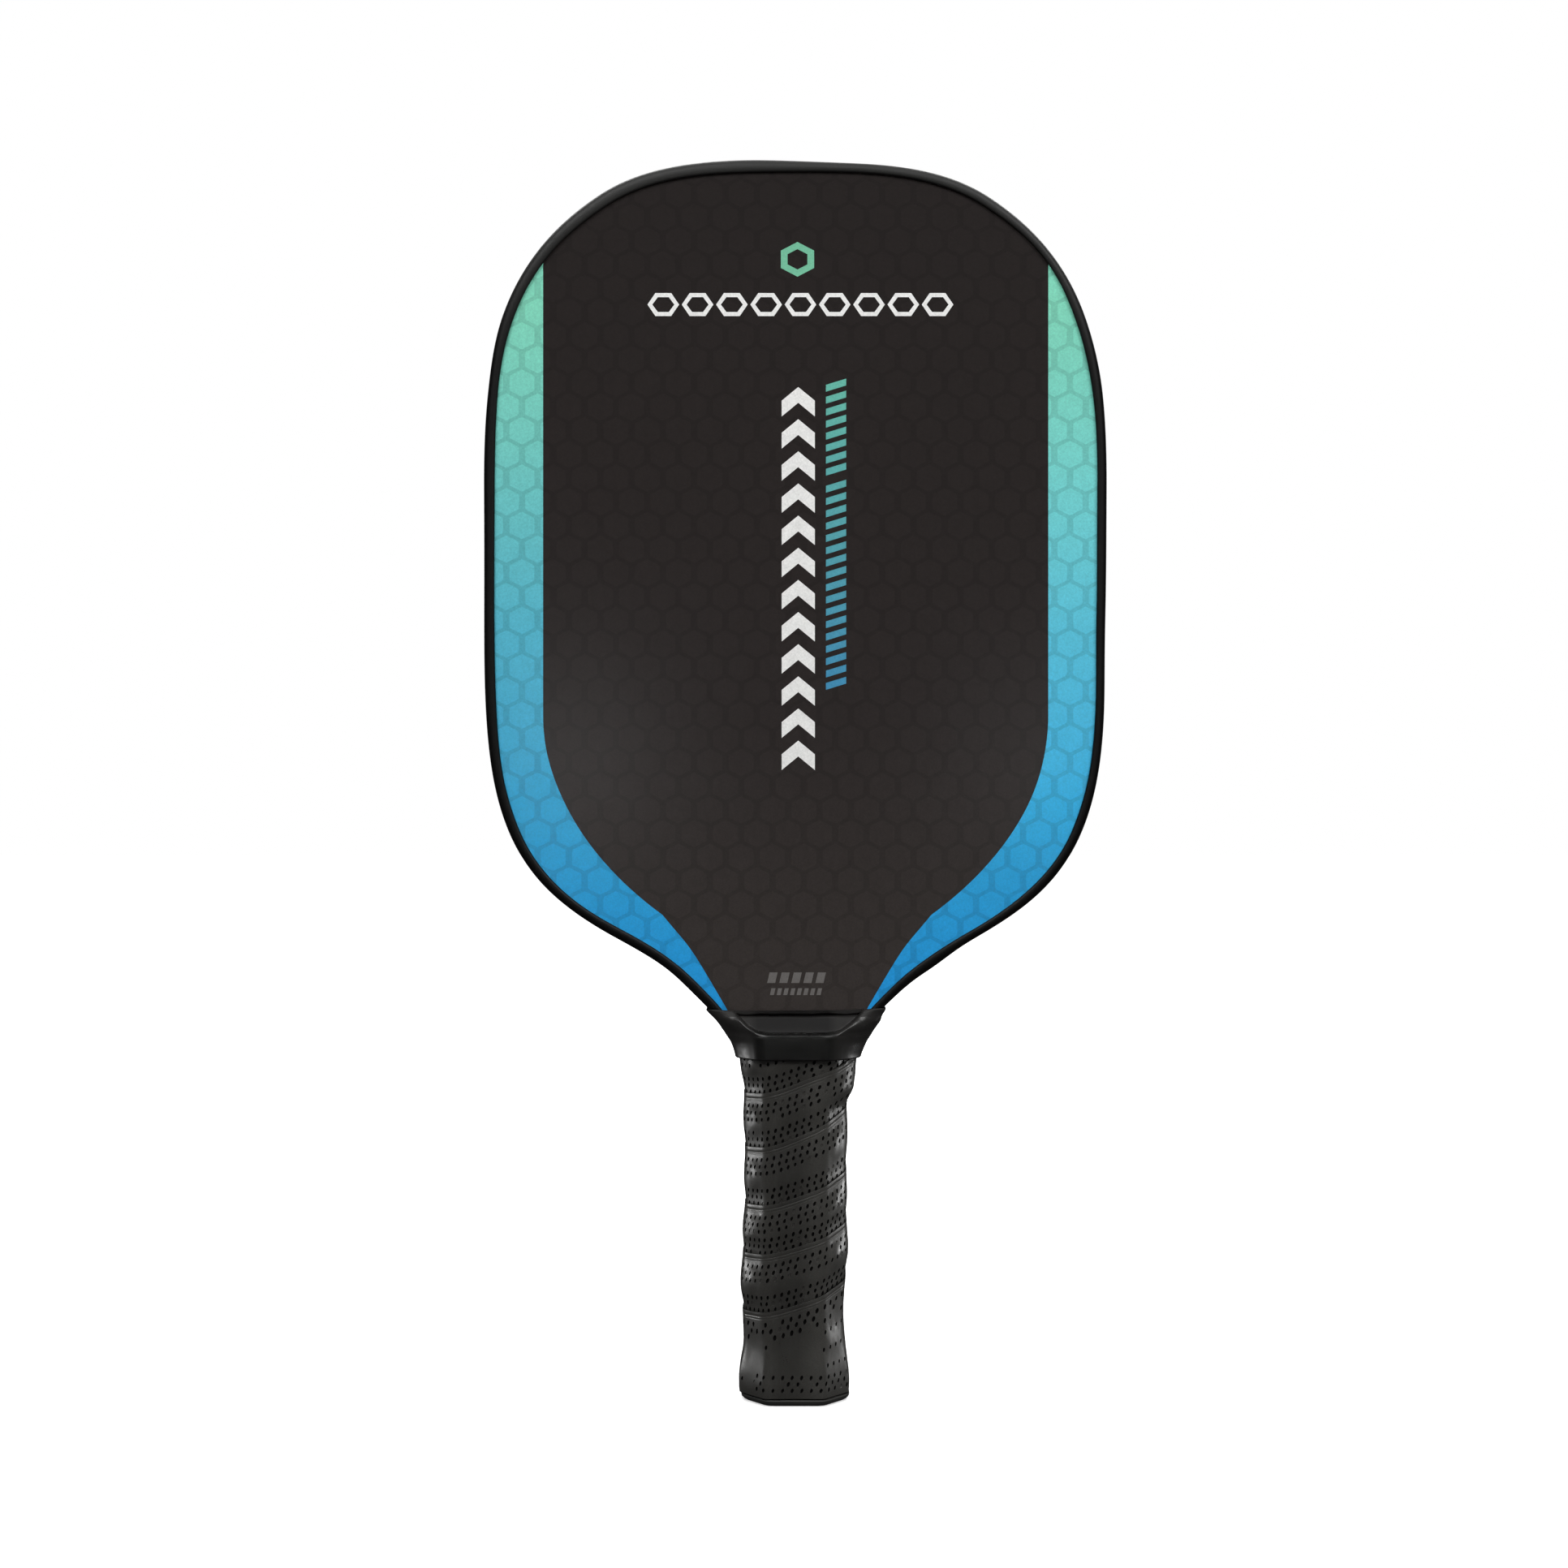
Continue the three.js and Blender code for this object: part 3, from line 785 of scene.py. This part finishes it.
def strip_lines():
    """The lines that run along the strip, from its lower edge up, and the rows of holes between them."""
    lines = [("tucked", k, None) for k in range(len(TUCKED))]
    rows = {}
    for k in range(3):
        rows[len(lines)] = ("low", k)
        lines += [("low", LOW_ROW + LOW_PITCH * (k + half), None) for half in (-0.5, 0)]
    for k in range(3):
        rows[len(lines)] = ("middle", k)
        lines += [("share", (k + half) / 3, None) for half in (0, 0.5)]
    for k in (2, 1, 0):
        rows[len(lines)] = ("top", k)
        lines += [("top", TOP_ROW + TOP_PITCH * (k + half), None) for half in (0.5, 0)]
    lines += [("top", distance, height) for distance, height in ROLLED]
    return lines, rows


SKIN, FOAM_AND_SHADE = range(2)


def grip():
    """One perforated strip wound up the handle. Lines run along it, and columns across it."""
    lines, rows = strip_lines()
    low_end = LOW_ROW + LOW_PITCH * 2.5
    top_end = TOP_ROW + TOP_PITCH * 2.5
    cut_edge = len(lines) - 3    # the line that the strip's cut upper edge starts from
    verts, index, spans = [], {}, {}
    faces, slots = [], []

    def levels(column):
        """The turn, the seams below and above, the rows' squeeze, and 1 at the strip's start."""
        if column not in spans:
            turn = column / COLUMNS - 0.5
            low, high = seam(turn), seam(turn + 1)
            squeeze = min(1.0, (high - low) / (low_end + top_end + 0.6))
            spans[column] = turn, low, high, squeeze, 1 - smooth(turn, 0.42, 0.7)
        return spans[column]

    def place(column, line):
        turn, low, high, squeeze, start = levels(column)
        kind, value, lift = lines[line]
        if kind == "tucked":
            distance, height = (lerp(a, b, start) for a, b in zip(TUCKED[value], TUCKED_AT_BUTT[value]))
            return turn, low + distance * squeeze, height * squeeze
        shift = START_SHIFT * start
        if kind == "low":
            z = low + (value + shift) * squeeze
        elif kind == "share":
            z = lerp(low + (low_end + shift) * squeeze, high - top_end * squeeze, value)
        else:
            z = high - value * squeeze
        height = skin_height(turn, z, low, high, start)
        if kind == "low" and value < 0:
            height -= 0.22 * (1 - start)
        return turn, z, (height + (lift or 0)) * squeeze

    def vertex(column, line):
        key = (column, line)
        if key not in index:
            index[key] = len(verts)
            verts.append(grip_point(*place(column, line)))
        return index[key]

    def quad(column, line):
        corners = ((column, line), (column + 1, line), (column + 1, line + 1), (column, line + 1))
        faces.append(tuple(vertex(*corner) for corner in corners))
        # The strip's cut edge under its rolled rim takes the near-black foam: partly its own colour, partly
        # painted shade in the seam's crease.
        slots.append(FOAM_AND_SHADE if line >= cut_edge else SKIN)

    def hole(column, line, size):
        """A hole in a cell four columns wide and two lines tall, sunk into the strip."""
        cell = [(column + i, line) for i in range(5)] + [(column + 4, line + 1)]
        cell += [(column + i, line + 2) for i in range(4, -1, -1)] + [(column, line + 1)]
        turn, low, high, squeeze, start = levels(column + 2)
        z = place(column + 2, line + 1)[1]
        tilt = 0.2 + 0.14 * noise.noise(Vector((column * 0.37, line * 1.3, 0.0)))
        grow = size * (1 + 0.2 * noise.noise(Vector((column * 0.71, line * 2.1, 5.0))))
        shallow = noise.noise(Vector((column * 0.43, line * 1.7, 11.0))) > 0.34
        rings = [[vertex(*key) for key in cell]]
        for scale, depth in ((1.0, 0.0), (0.95, 0.12), (0.85, 0.2 if shallow else 0.37)):
            rings.append(list(range(len(verts), len(verts) + len(cell))))
            for c, l in cell:
                angle = math.atan2(l - line - 1, (c - column - 2) / 2)
                u, v = 0.44 * grow * scale * math.cos(angle), 0.7 * grow * scale * math.sin(angle)
                height = skin_height(turn, z + v, low, high, start) * squeeze
                verts.append(grip_point(turn + (u + v * tilt) / GIRTH, z + v, height - depth))
        # The deeper holes' walls and floors take the near-black foam: partly its own colour, partly painted
        # shade.
        for level, (a, b) in enumerate(zip(rings, rings[1:])):
            for k in range(len(cell)):
                n = (k + 1) % len(cell)
                faces.append((a[k], a[n], b[n], b[k]))
                slots.append(FOAM_AND_SHADE if level > 0 and not shallow else SKIN)
        faces.append(tuple(rings[-1]))
        slots.append(SKIN if shallow else FOAM_AND_SHADE)

    def hole_size(zone, column, line):
        """How large the hole in a cell is, against the usual one, or 0 where the strip is whole."""
        turn, _, _, squeeze, _ = levels(column + 2)
        chance = noise.noise(Vector((column * 0.53, line * 1.9, 7.0)))
        if squeeze < 0.97:
            return 0
        if turn < 0.5:
            if zone == "low":
                return 1 if chance < (0.45 if turn > 0.12 else 0.0) and turn > -0.1 else 0
            if zone == "top":
                return 1.2 if chance < 0.22 else 0
            on_right_chamfer = 0.34 < turn < 0.49
            return 0.95 if on_right_chamfer and chance < 0.4 or chance > 0.42 else 0
        return 1 if zone != "middle" and chance < 0.5 else 0

    total = int(COLUMNS * TURNS)
    line = 0
    while line < len(lines) - 1:
        zone, number = rows.get(line, (None, 0))
        column = 2 * (number % 2) if zone else 0
        height = 2 if zone else 1
        for extra in range(column):
            quad(extra, line)
            quad(extra, line + 1)
        while column + 4 <= total:
            turn, _, _, squeeze, _ = levels(column)
            width = 4 if zone else 1
            if place(column, line)[1] > GRIP_TOP or squeeze <= 0.06:
                column += width
                continue
            size = hole_size(zone, column, line) if zone else 0
            if size:
                hole(column, line, size)
            else:
                for i in range(width):
                    for j in range(height):
                        quad(column + i, line + j)
            column += width
            if zone and turn < 0.5:
                for j in range(height):
                    quad(column, line + j)
                column += 1
        line += height
    return new_mesh("wrapped_cushion_grip", verts, faces, slots, sharp=38)


def grip_material():
    tree = Tree("grip_skin")
    x = tree.split(tree.object)[0]
    grain = tree.cells(3400)
    pores = tree.noise(2600, detail=3, roughness=0.6)
    rub = tree.noise(150, detail=4, roughness=0.55)
    broad = tree.noise(38, detail=3)
    tint = tree.mix(tree.span(broad, 0.3, 0.7), linear(46, 45, 43), linear(55, 54, 51))
    # Painted light: the strip is lighter from just right of the middle outwards, and a little on the left,
    # where the lamps light it.
    tint = tree.mix(tree.span(x, 1.0 * MM, 7.0 * MM, 0, 0.75), tint, linear(69, 68, 65))
    tint = tree.mix(tree.span(x, -9.0 * MM, -5.0 * MM, 0.4, 0), tint, linear(69, 68, 65))
    colour = tree.mix(tree.span(pores, 0.35, 0.75, 0, 0.5), tint, linear(36, 35, 34))
    rough = tree.plus(tree.span(rub, 0.3, 0.7, 0.28, 0.37), tree.span(pores, 0.3, 0.7, -0.03, 0.04))
    leather = tree.bump(tree.span(grain, 0.0, 0.25), 0.06, 0.00004)
    normal = tree.bump(pores, 0.07, 0.00005, leather)
    return tree.finish(colour, rough, normal, Specular_IOR_Level=0.4)


def hole_material():
    """The foam inside the strip, seen down its holes. Its near-black is partly the foam's own colour and
    partly painted shade in the holes and on the strip's cut edge.
    """
    tree = Tree("grip_foam_and_shade")
    cells = tree.cells(4000)
    colour = tree.mix(tree.span(cells, 0, 0.3), linear(5, 5, 5), linear(10, 10, 9))
    rough = tree.span(cells, 0, 0.3, 0.95, 0.85)
    return tree.finish(colour, rough, tree.bump(cells, 0.3, 0.00005), Specular_IOR_Level=0.1)


grip_piece = show(grip(), "grip_skin", [grip_material(), hole_material()], "cushion_grip")


# ------------------------------------------------------------------ the throat collar

def collar_material(name, low, high, rough, specular):
    """Smooth rubber, with painted light making it lighter on the horns at both sides."""
    tree = Tree(name)
    x = tree.split(tree.object)[0]
    film_noise = tree.noise(60, detail=3)
    fine = tree.noise(700, detail=2)
    dust = tree.noise(1500, detail=2)
    tint = tree.mix(tree.span(film_noise, 0.3, 0.7), linear(*low), linear(*high))
    # Painted light: the rubber is lighter beyond the front's corners on both sides, where the lamps catch
    # its slanted faces.
    tint = tree.mix(tree.span(x, 10.5 * MM, 13.5 * MM), tint, linear(35, 34, 33))
    tint = tree.mix(tree.span(x, -15 * MM, -12 * MM, 1, 0), tint, linear(35, 34, 33))
    colour = tree.mix(tree.span(dust, 0.66, 0.85, 0, 0.12), tint, linear(60, 60, 60))
    roughness = tree.span(film_noise, 0.35, 0.65, rough, rough + 0.09)
    roughness = tree.plus(roughness, tree.span(fine, 0.3, 0.7, 0, 0.04))
    return tree.finish(colour, roughness, tree.bump(fine, 0.05, 0.00004), Specular_IOR_Level=specular)


COLLAR_LOW = 110.6
COLLAR_TOP = 126.9
HORN_TOP = 124.2    # above it the rubber is duller
# Half the collar's width and depth, and half of its flat front and of its flat side, by z.
collar_half = curve_through(
    [(110.6, 19.4), (112.1, 19.7), (113.4, 20.1), (114.7, 20.6), (116.0, 21.2), (118.7, 23.0),
     (120.0, 23.9), (121.3, 24.8), (122.6, 25.8), (124.0, 26.9), (125.3, 27.9), (127.0, 29.1)]
)
collar_depth = curve_through(
    [(110.6, 16.5), (116, 16.5), (118.5, 16.3), (120.5, 15.5), (122.5, 13.9), (124.5, 12.0), (127.0, 10.2)]
)
collar_front = curve_through(
    [(110.6, 11.4), (116, 11.6), (119, 12.6), (120.5, 14.2), (122, 16.2), (124, 18.4), (127.0, 20.6)]
)
collar_side = curve_through([(110.6, 6.4), (116, 6.2), (119, 6.6), (122, 7.4), (127.0, 8.6)])
# How much further the collar reaches out at its right.
collar_slack = curve_through([(110.6, 1.8), (116, 2.2), (122, 1.9), (124.5, 1.0), (127, 0.3)])


def collar_outline(z, shrink):
    """The collar's corners at a height, drawn in by shrink. The slant has a corner in its middle."""
    w, d = collar_half(z) - shrink, collar_depth(z) - shrink
    f, s = collar_front(z) - shrink * 0.4, collar_side(z) - shrink * 0.4
    s = min(s, d - 1.2)
    mid = (lerp(f, w, 0.52) + 0.25, lerp(d, s, 0.48) + 0.25)
    quarter = [(f, d), mid, (w, s)]
    corners = [(-x, -y) for x, y in reversed(quarter)] + [(x, -y) for x, y in quarter]
    corners += [(x, y) for x, y in reversed(quarter)] + [(-x, y) for x, y in quarter]
    return corners


def round_by(corners, amount, count):
    """An even outline of count points, with its corners rounded."""
    w = -corners[0][0]
    points = [(-w, 0.0)]
    total = len(corners)
    for k in range(total):
        p = Vector(corners[k])
        a, b = Vector(corners[k - 1]), Vector(corners[(k + 1) % total])
        cut = min(amount, (a - p).length * 0.48, (b - p).length * 0.48)
        start, end = p + (a - p).normalized() * cut, p + (b - p).normalized() * cut
        for j in range(7):
            t = j / 6
            points.append(tuple(start * (1 - t) ** 2 + p * (2 * t * (1 - t)) + end * t**2))
    points.append((-w, 0.0))
    return evenly(points, count)[:-1]


PROUD, SUNK = range(2)


def collar():
    """A rubber band stretched over the throat. It sinks between the handle's two horns, over the scoop."""
    around, up = 380, 124

    def scoop_edge(x, y):
        """The height of the scoop's lower edge, which rises towards the horns."""
        start, run = (7.5, 13.0) if x > 0 else (7.0, 11.5)
        rise = max(0.0, (abs(x) - start) / run) ** 2.6
        return 118.75 + 6.1 * rise + 0.22 * noise.noise(Vector((x * 0.33, 4.0 if y < 0 else 8.0, 0.0)))

    def scooped(x, y, z):
        """Over the scoop the rubber sinks towards the panel. It is creased under its rolled top edge."""
        past = z - scoop_edge(x, y)
        lip = lerp(0.05, 0.26, smooth(abs(x), 8, 12)) * smooth(past, -0.7, 0.05)
        swollen = 0.3 * math.exp(-((x - 12.8) / 2.2) ** 2) + 0.22 * math.exp(-((x + 16.4) / 2.2) ** 2)
        lip -= swollen * math.exp(-((past + 0.7) / 0.9) ** 2)
        bed = lerp(13.6, 8.75, smooth(z, 117.6, 125.4))
        bed -= 0.3 * math.exp(-((past - 0.3) / 0.2) ** 2)
        wander = noise.noise(Vector((x * 0.15, 2.0 if y < 0 else 6.0, 0.0)))
        crease = 125.0 + 0.55 * wander
        bed -= (0.9 + 0.5 * wander) * math.exp(-((z - crease) / 0.42) ** 2)
        return math.copysign(lerp(abs(y) - lip, min(abs(y) - lip, bed), smooth(past, -0.05, 0.24)), y)

    def ripple(x, y, z):
        strong = smooth(z, 117.5, 124.0)
        value = 0.16 * noise.noise(Vector((x * 0.24, y * 0.1, z * 0.34 + 3.0)))
        value += 0.07 * noise.noise(Vector((x * 0.7 + 5, y * 0.3, z * 0.5)))
        return value * (0.25 + strong)

    def ring(z, shrink):
        points = round_by(collar_outline(z, shrink), lerp(2.6, 11, smooth(z, 117.5, 122)), around)
        out = []
        for k, (x, y) in enumerate(points):
            a, b = points[k - 1], points[(k + 1) % around]
            dx, dy = b[0] - a[0], b[1] - a[1]
            size = math.hypot(dx, dy) or 1.0
            r = ripple(x, y, z) if shrink < 0.3 else 0
            nx, ny = -dy / size, dx / size
            nx, ny = (nx, ny) if nx * x + ny * y > 0 else (-nx, -ny)
            x2, y2 = x + nx * r, y + ny * r
            x2 += collar_slack(z) * smooth(x2, 4, 18)
            y3 = scooped(x2, y2, z)
            if shrink >= 0.3 and abs(y3) < abs(y2) - 0.01:
                y3 = math.copysign(max(7.4, abs(y3) - shrink), y3)
            drop = lerp(-0.85, -0.35, smooth(abs(x2), 12, 28)) + 0.008 * x2
            out.append((x2, y3, z + drop * smooth(z, 122.5, 126.6)))
        return out

    rings = []
    wall = 0.8    # thick
    for t, shrink in ((0.5, wall), (0.12, wall * 0.85), (0.0, wall * 0.5), (0.1, 0.15)):
        rings.append(ring(COLLAR_LOW + t, shrink))
    for k in range(up + 1):
        rings.append(ring(lerp(COLLAR_LOW + 0.4, COLLAR_TOP - 0.4, k / up), 0.0))
    for t, shrink in ((0.12, 0.12), (0.0, 0.35), (0.15, 0.6), (1.2, wall)):
        rings.append(ring(COLLAR_TOP - t, shrink))
    verts = [p for points in rings for p in points]
    faces = ring_faces(len(rings), around)
    slots = []
    for face in faces:
        x, y, z = verts[face[0]]
        slots.append(SUNK if z > min(HORN_TOP, scoop_edge(x, y) + 0.3) else PROUD)
    return new_mesh("stretched_throat_collar", verts, faces, slots, sharp=60)


# The sunk copy is duller and a little lighter in colour: painted light on the rubber over the scoop and on
# the horns' tops.
collar_materials = [
    collar_material("collar_rubber", (13, 13, 13), (17, 17, 16), 0.26, 0.4),
    collar_material("collar_rubber_sunk", (16, 15, 15), (21, 20, 19), 0.45, 0.22),
]
show(collar(), "collar_rubber", collar_materials, "throat_collar")


# ------------------------------------------------------------------ the butt cap and its badge

def moulded(name, low, high, rough_low, rough_high, specular):
    """Fine-textured moulded plastic."""
    tree = Tree(name)
    fine = tree.noise(1100, detail=3, roughness=0.6)
    broad = tree.noise(50, detail=2)
    colour = tree.mix(tree.span(broad, 0.3, 0.7), linear(*low), linear(*high))
    rough = tree.span(fine, 0.3, 0.7, rough_low, rough_high)
    return tree.finish(colour, rough, tree.bump(fine, 0.25, 0.00005), Specular_IOR_Level=specular)


CAP_COUNT = 240    # points in each of its rings


def cap_ring(width, depth, z, radius):
    """An eight-sided ring with rounded corners."""
    return [(x, y, z) for x, y in round_by(eight_sided(width, depth, 0.555), radius, CAP_COUNT)]


def disc_ring(radius, z, count=CAP_COUNT):
    angles = [TAU * k / count for k in range(count)]
    return [(-radius * math.cos(angle), -radius * math.sin(angle), z) for angle in angles]


def loft(name, rings):
    """A skin over the rings, closed over the last."""
    count = len(rings[0])
    verts = [p for points in rings for p in points]
    faces = ring_faces(len(rings), count)
    faces.append(tuple((len(rings) - 1) * count + k for k in range(count)))
    return new_mesh(name, verts, faces, sharp=35)


def butt_cap():
    """The flared cap, from inside its skirt over the rim to the recess in its flat end."""
    sides = (    # width, depth, z and the corners' radius
        (15.2, 13.8, 16.0, 2.0), (15.5, 14.1, 2.9, 2.0), (16.6, 14.9, 2.2, 2.0), (17.3, 15.5, 2.15, 2.0),
        (17.5, 15.7, 1.85, 2.0), (17.3, 15.45, 1.15, 2.0), (16.75, 15.0, 0.55, 2.0), (16.1, 14.4, 0.15, 2.0),
        (15.4, 13.8, 0.0, 2.0), (14.2, 13.1, 0.0, 2.4), (14.0, 12.9, 0.25, 2.4), (13.5, 12.5, 0.25, 2.4),
        (13.3, 12.3, 0.0, 2.4),
    )
    recess = ((11.0, 0.0), (10.35, 0.0), (10.1, 0.12), (10.0, 0.9), (6.0, 1.0), (1.0, 1.0))    # radius, z
    rings = [cap_ring(*row) for row in sides] + [disc_ring(*row) for row in recess]
    piece = loft("flared_butt_cap", rings)
    plastic = moulded("cap_plastic", (46, 46, 45), (56, 56, 54), 0.42, 0.56, 0.25)
    show(piece, "cap_plastic", [plastic], "butt_cap")


def badge():
    """A plain disc with a raised rim and a ring of fine grooves."""
    profile = [(9.7, 0.9), (9.7, 0.42), (9.55, 0.3), (9.1, 0.3), (8.95, 0.42)]
    radius = 8.6
    while radius > 2.4:
        profile += [(radius, 0.42), (radius - 0.12, 0.5), (radius - 0.36, 0.5), (radius - 0.48, 0.42)]
        radius -= 0.95
    profile += [(1.4, 0.4), (0.4, 0.38)]
    piece = loft("butt_cap_disc", [disc_ring(r, z, 160) for r, z in profile])
    plastic = moulded("badge_plastic", (40, 40, 41), (52, 52, 53), 0.2, 0.32, 0.5)
    show(piece, "badge_plastic", [plastic], "butt_cap_badge")


butt_cap()
badge()


# ------------------------------------------------------------------ the CAD pieces that stay

def speckled(name, low, high, scale, rough, metallic=0.0, specular=0.5):
    tree = Tree(name)
    grain = tree.noise(scale, detail=4, roughness=0.6)
    broad = tree.noise(scale / 12, detail=2)
    both = tree.plus(tree.times(grain, 0.6), tree.times(broad, 0.4))
    colour = tree.mix(tree.span(both, 0.35, 0.65), linear(*low), linear(*high))
    roughness = tree.span(grain, 0.3, 0.7, rough - 0.06, rough + 0.06)
    return tree.finish(
        colour, roughness, tree.bump(grain, 0.3, 0.0001), Metallic=metallic, Specular_IOR_Level=specular
    )


def carbon_weave():
    """A plain weave of dark tows 2 mm wide."""
    tree = Tree("carbon_weave")
    x, _, z = tree.split(tree.object)
    across, along = (tree.math("DIVIDE", v, 2 * MM) for v in (x, z))
    checker = tree.math("MODULO", tree.plus(tree.math("FLOOR", across), tree.math("FLOOR", along)), 2.0)
    checker = tree.math("ABSOLUTE", checker)
    wave = tree.math("SINE", tree.times(tree.math("FRACT", across), math.pi))
    tows = tree.noise(60, detail=2, vector=tree.vector("MULTIPLY", tree.object, (60.0, 1.0, 1.0)))
    colour = tree.mix(checker, linear(26, 26, 28), linear(44, 44, 47))
    rough = tree.span(checker, 0, 1, 0.32, 0.44)
    height = tree.plus(tree.times(wave, 0.5), tree.times(tows, 0.3))
    return tree.finish(colour, rough, tree.bump(height, 0.4, 0.0001), Specular_IOR_Level=0.5)


inner_materials = {
    "honeycomb_core": speckled("core_plastic", (205, 210, 204), (228, 231, 226), 300, 0.5),
    "bond_film": speckled("bond_film", (170, 150, 100), (196, 178, 126), 240, 0.35),
    "face_sheet": carbon_weave(),
    "glue_tape": speckled("glue_tape", (214, 211, 203), (236, 234, 228), 900, 0.8),
    "handle_pallet": speckled("pallet_foam", (188, 154, 96), (214, 182, 124), 700, 0.85),
    "cap_staple": speckled("staple_steel", (150, 151, 154), (196, 197, 200), 500, 0.3, 1.0),
    "adhesive_strip": speckled("adhesive_strip", (214, 208, 190), (238, 233, 217), 400, 0.5),
    "finishing_tape": speckled("finishing_tape", (22, 22, 22), (34, 34, 34), 500, 0.35),
}
for node_name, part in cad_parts.items():
    for ending, material in inner_materials.items():
        if node_name.endswith(ending):
            part.data.materials.clear()
            part.data.materials.append(material)


# ------------------------------------------------------------------ floor, light and camera

def floor():
    tree = Tree("studio_floor")
    cloud = tree.noise(3.0, detail=3)
    fine = tree.noise(180, detail=2)
    colour = tree.mix(tree.span(cloud, 0.3, 0.7), linear(240, 240, 240), linear(244, 244, 244))
    x, y, _ = tree.split(tree.object)
    away = tree.math("SQRT", tree.plus(tree.times(x, x), tree.times(y, y)))
    tree.put(tree.bsdf.inputs["Emission Strength"], tree.span(away, 0.05, 1.3, 0.5, 1.1, smoothstep=True))
    material = tree.finish(
        colour, tree.span(fine, 0.3, 0.7, 0.75, 0.85), Specular_IOR_Level=0.1, Emission_Color=(1, 1, 1, 1)
    )
    count = 24           # squares each way
    line = count + 1     # points in a line
    half = 6000.0        # mm from the middle to an edge
    places = [lerp(-half, half, k / count) for k in range(line)]
    verts = [(x, y, -0.05) for y in places for x in places]
    starts = [j * line + i for j in range(count) for i in range(count)]
    faces = [(a, a + 1, a + line + 1, a + line) for a in starts]
    piece = new_mesh("studio_floor", verts, faces)
    piece.data.materials.append(material)
    piece.visible_diffuse = False
    piece.visible_glossy = False


def area_light(name, place, aim, size, power, spread=180):
    data = bpy.data.lights.new(name, "AREA")
    data.shape = "RECTANGLE"
    data.size, data.size_y = size
    data.energy = power
    data.spread = math.radians(spread)
    light = bpy.data.objects.new(name, data)
    light.location = place
    light.rotation_mode = "QUATERNION"
    light.rotation_quaternion = (Vector(aim) - Vector(place)).to_track_quat("-Z", "Y")
    bpy.context.scene.collection.objects.link(light)


def studio():
    world = bpy.data.worlds.new("studio")
    bpy.context.scene.world = world
    world.use_nodes = True
    nodes, links = world.node_tree.nodes, world.node_tree.links
    path = nodes.new("ShaderNodeLightPath")

    def background(level):
        node = nodes.new("ShaderNodeBackground")
        node.inputs["Color"].default_value = (1, 1, 1, 1)
        node.inputs["Strength"].default_value = level
        return node.outputs[0]

    def either(ray, yes, no):
        node = nodes.new("ShaderNodeMixShader")
        for socket, value in zip(node.inputs, (path.outputs[ray], no, yes)):
            links.new(value, socket)
        return node.outputs[0]

    lit = either("Is Glossy Ray", background(0.03), background(0.15))
    links.new(either("Is Camera Ray", background(1.0), lit), nodes["World Output"].inputs[0])
    centre = (0, 0, 0.2)
    area_light("front_key", (-0.6, -1.05, 1.35), centre, (0.9, 0.7), 15.0)
    area_light("front_fill", (0.8, -1.05, 1.25), centre, (0.9, 0.7), 15.5)
    handle = (0, 0, 0.06)
    area_light("left_rim", (-0.427, 0.113, 0.03), handle, (0.08, 0.08), 0.0145, spread=30)
    area_light("right_rim", (0.427, 0.113, 0.03), handle, (0.08, 0.08), 0.0155, spread=30)
    area_light("left_glow", (-0.184, -1.2, 0.216), (-0.07, 0, 0.2), (0.06, 0.1), 0.024, spread=60)
    area_light("right_glow", (0.204, -1.2, 0.22), (0.07, 0, 0.2), (0.06, 0.1), 0.013, spread=60)
    area_light("back_left", (-0.5, 1.0, 1.5), centre, (0.9, 0.7), 13.0)
    area_light("back_right", (0.6, 0.95, 1.4), centre, (0.7, 0.7), 10.5)
    area_light("overhead", (0, 0, 1.7), centre, (1.0, 1.0), 3.0)


def camera():
    data = bpy.data.cameras.new("camera")
    data.sensor_width = 36
    distance = 0.80
    seen = 0.5105    # m across the picture at the paddle
    data.lens = data.sensor_width * distance / seen
    data.clip_start, data.clip_end = 0.01, 100
    view = bpy.data.objects.new("camera", data)
    view.location = (-3.65 * MM, -distance, 0.199)
    view.rotation_euler = (math.pi / 2, 0, 0)
    bpy.context.scene.collection.objects.link(view)
    bpy.context.scene.camera = view


floor()
studio()
camera()
bpy.context.scene.view_settings.view_transform = "Standard"
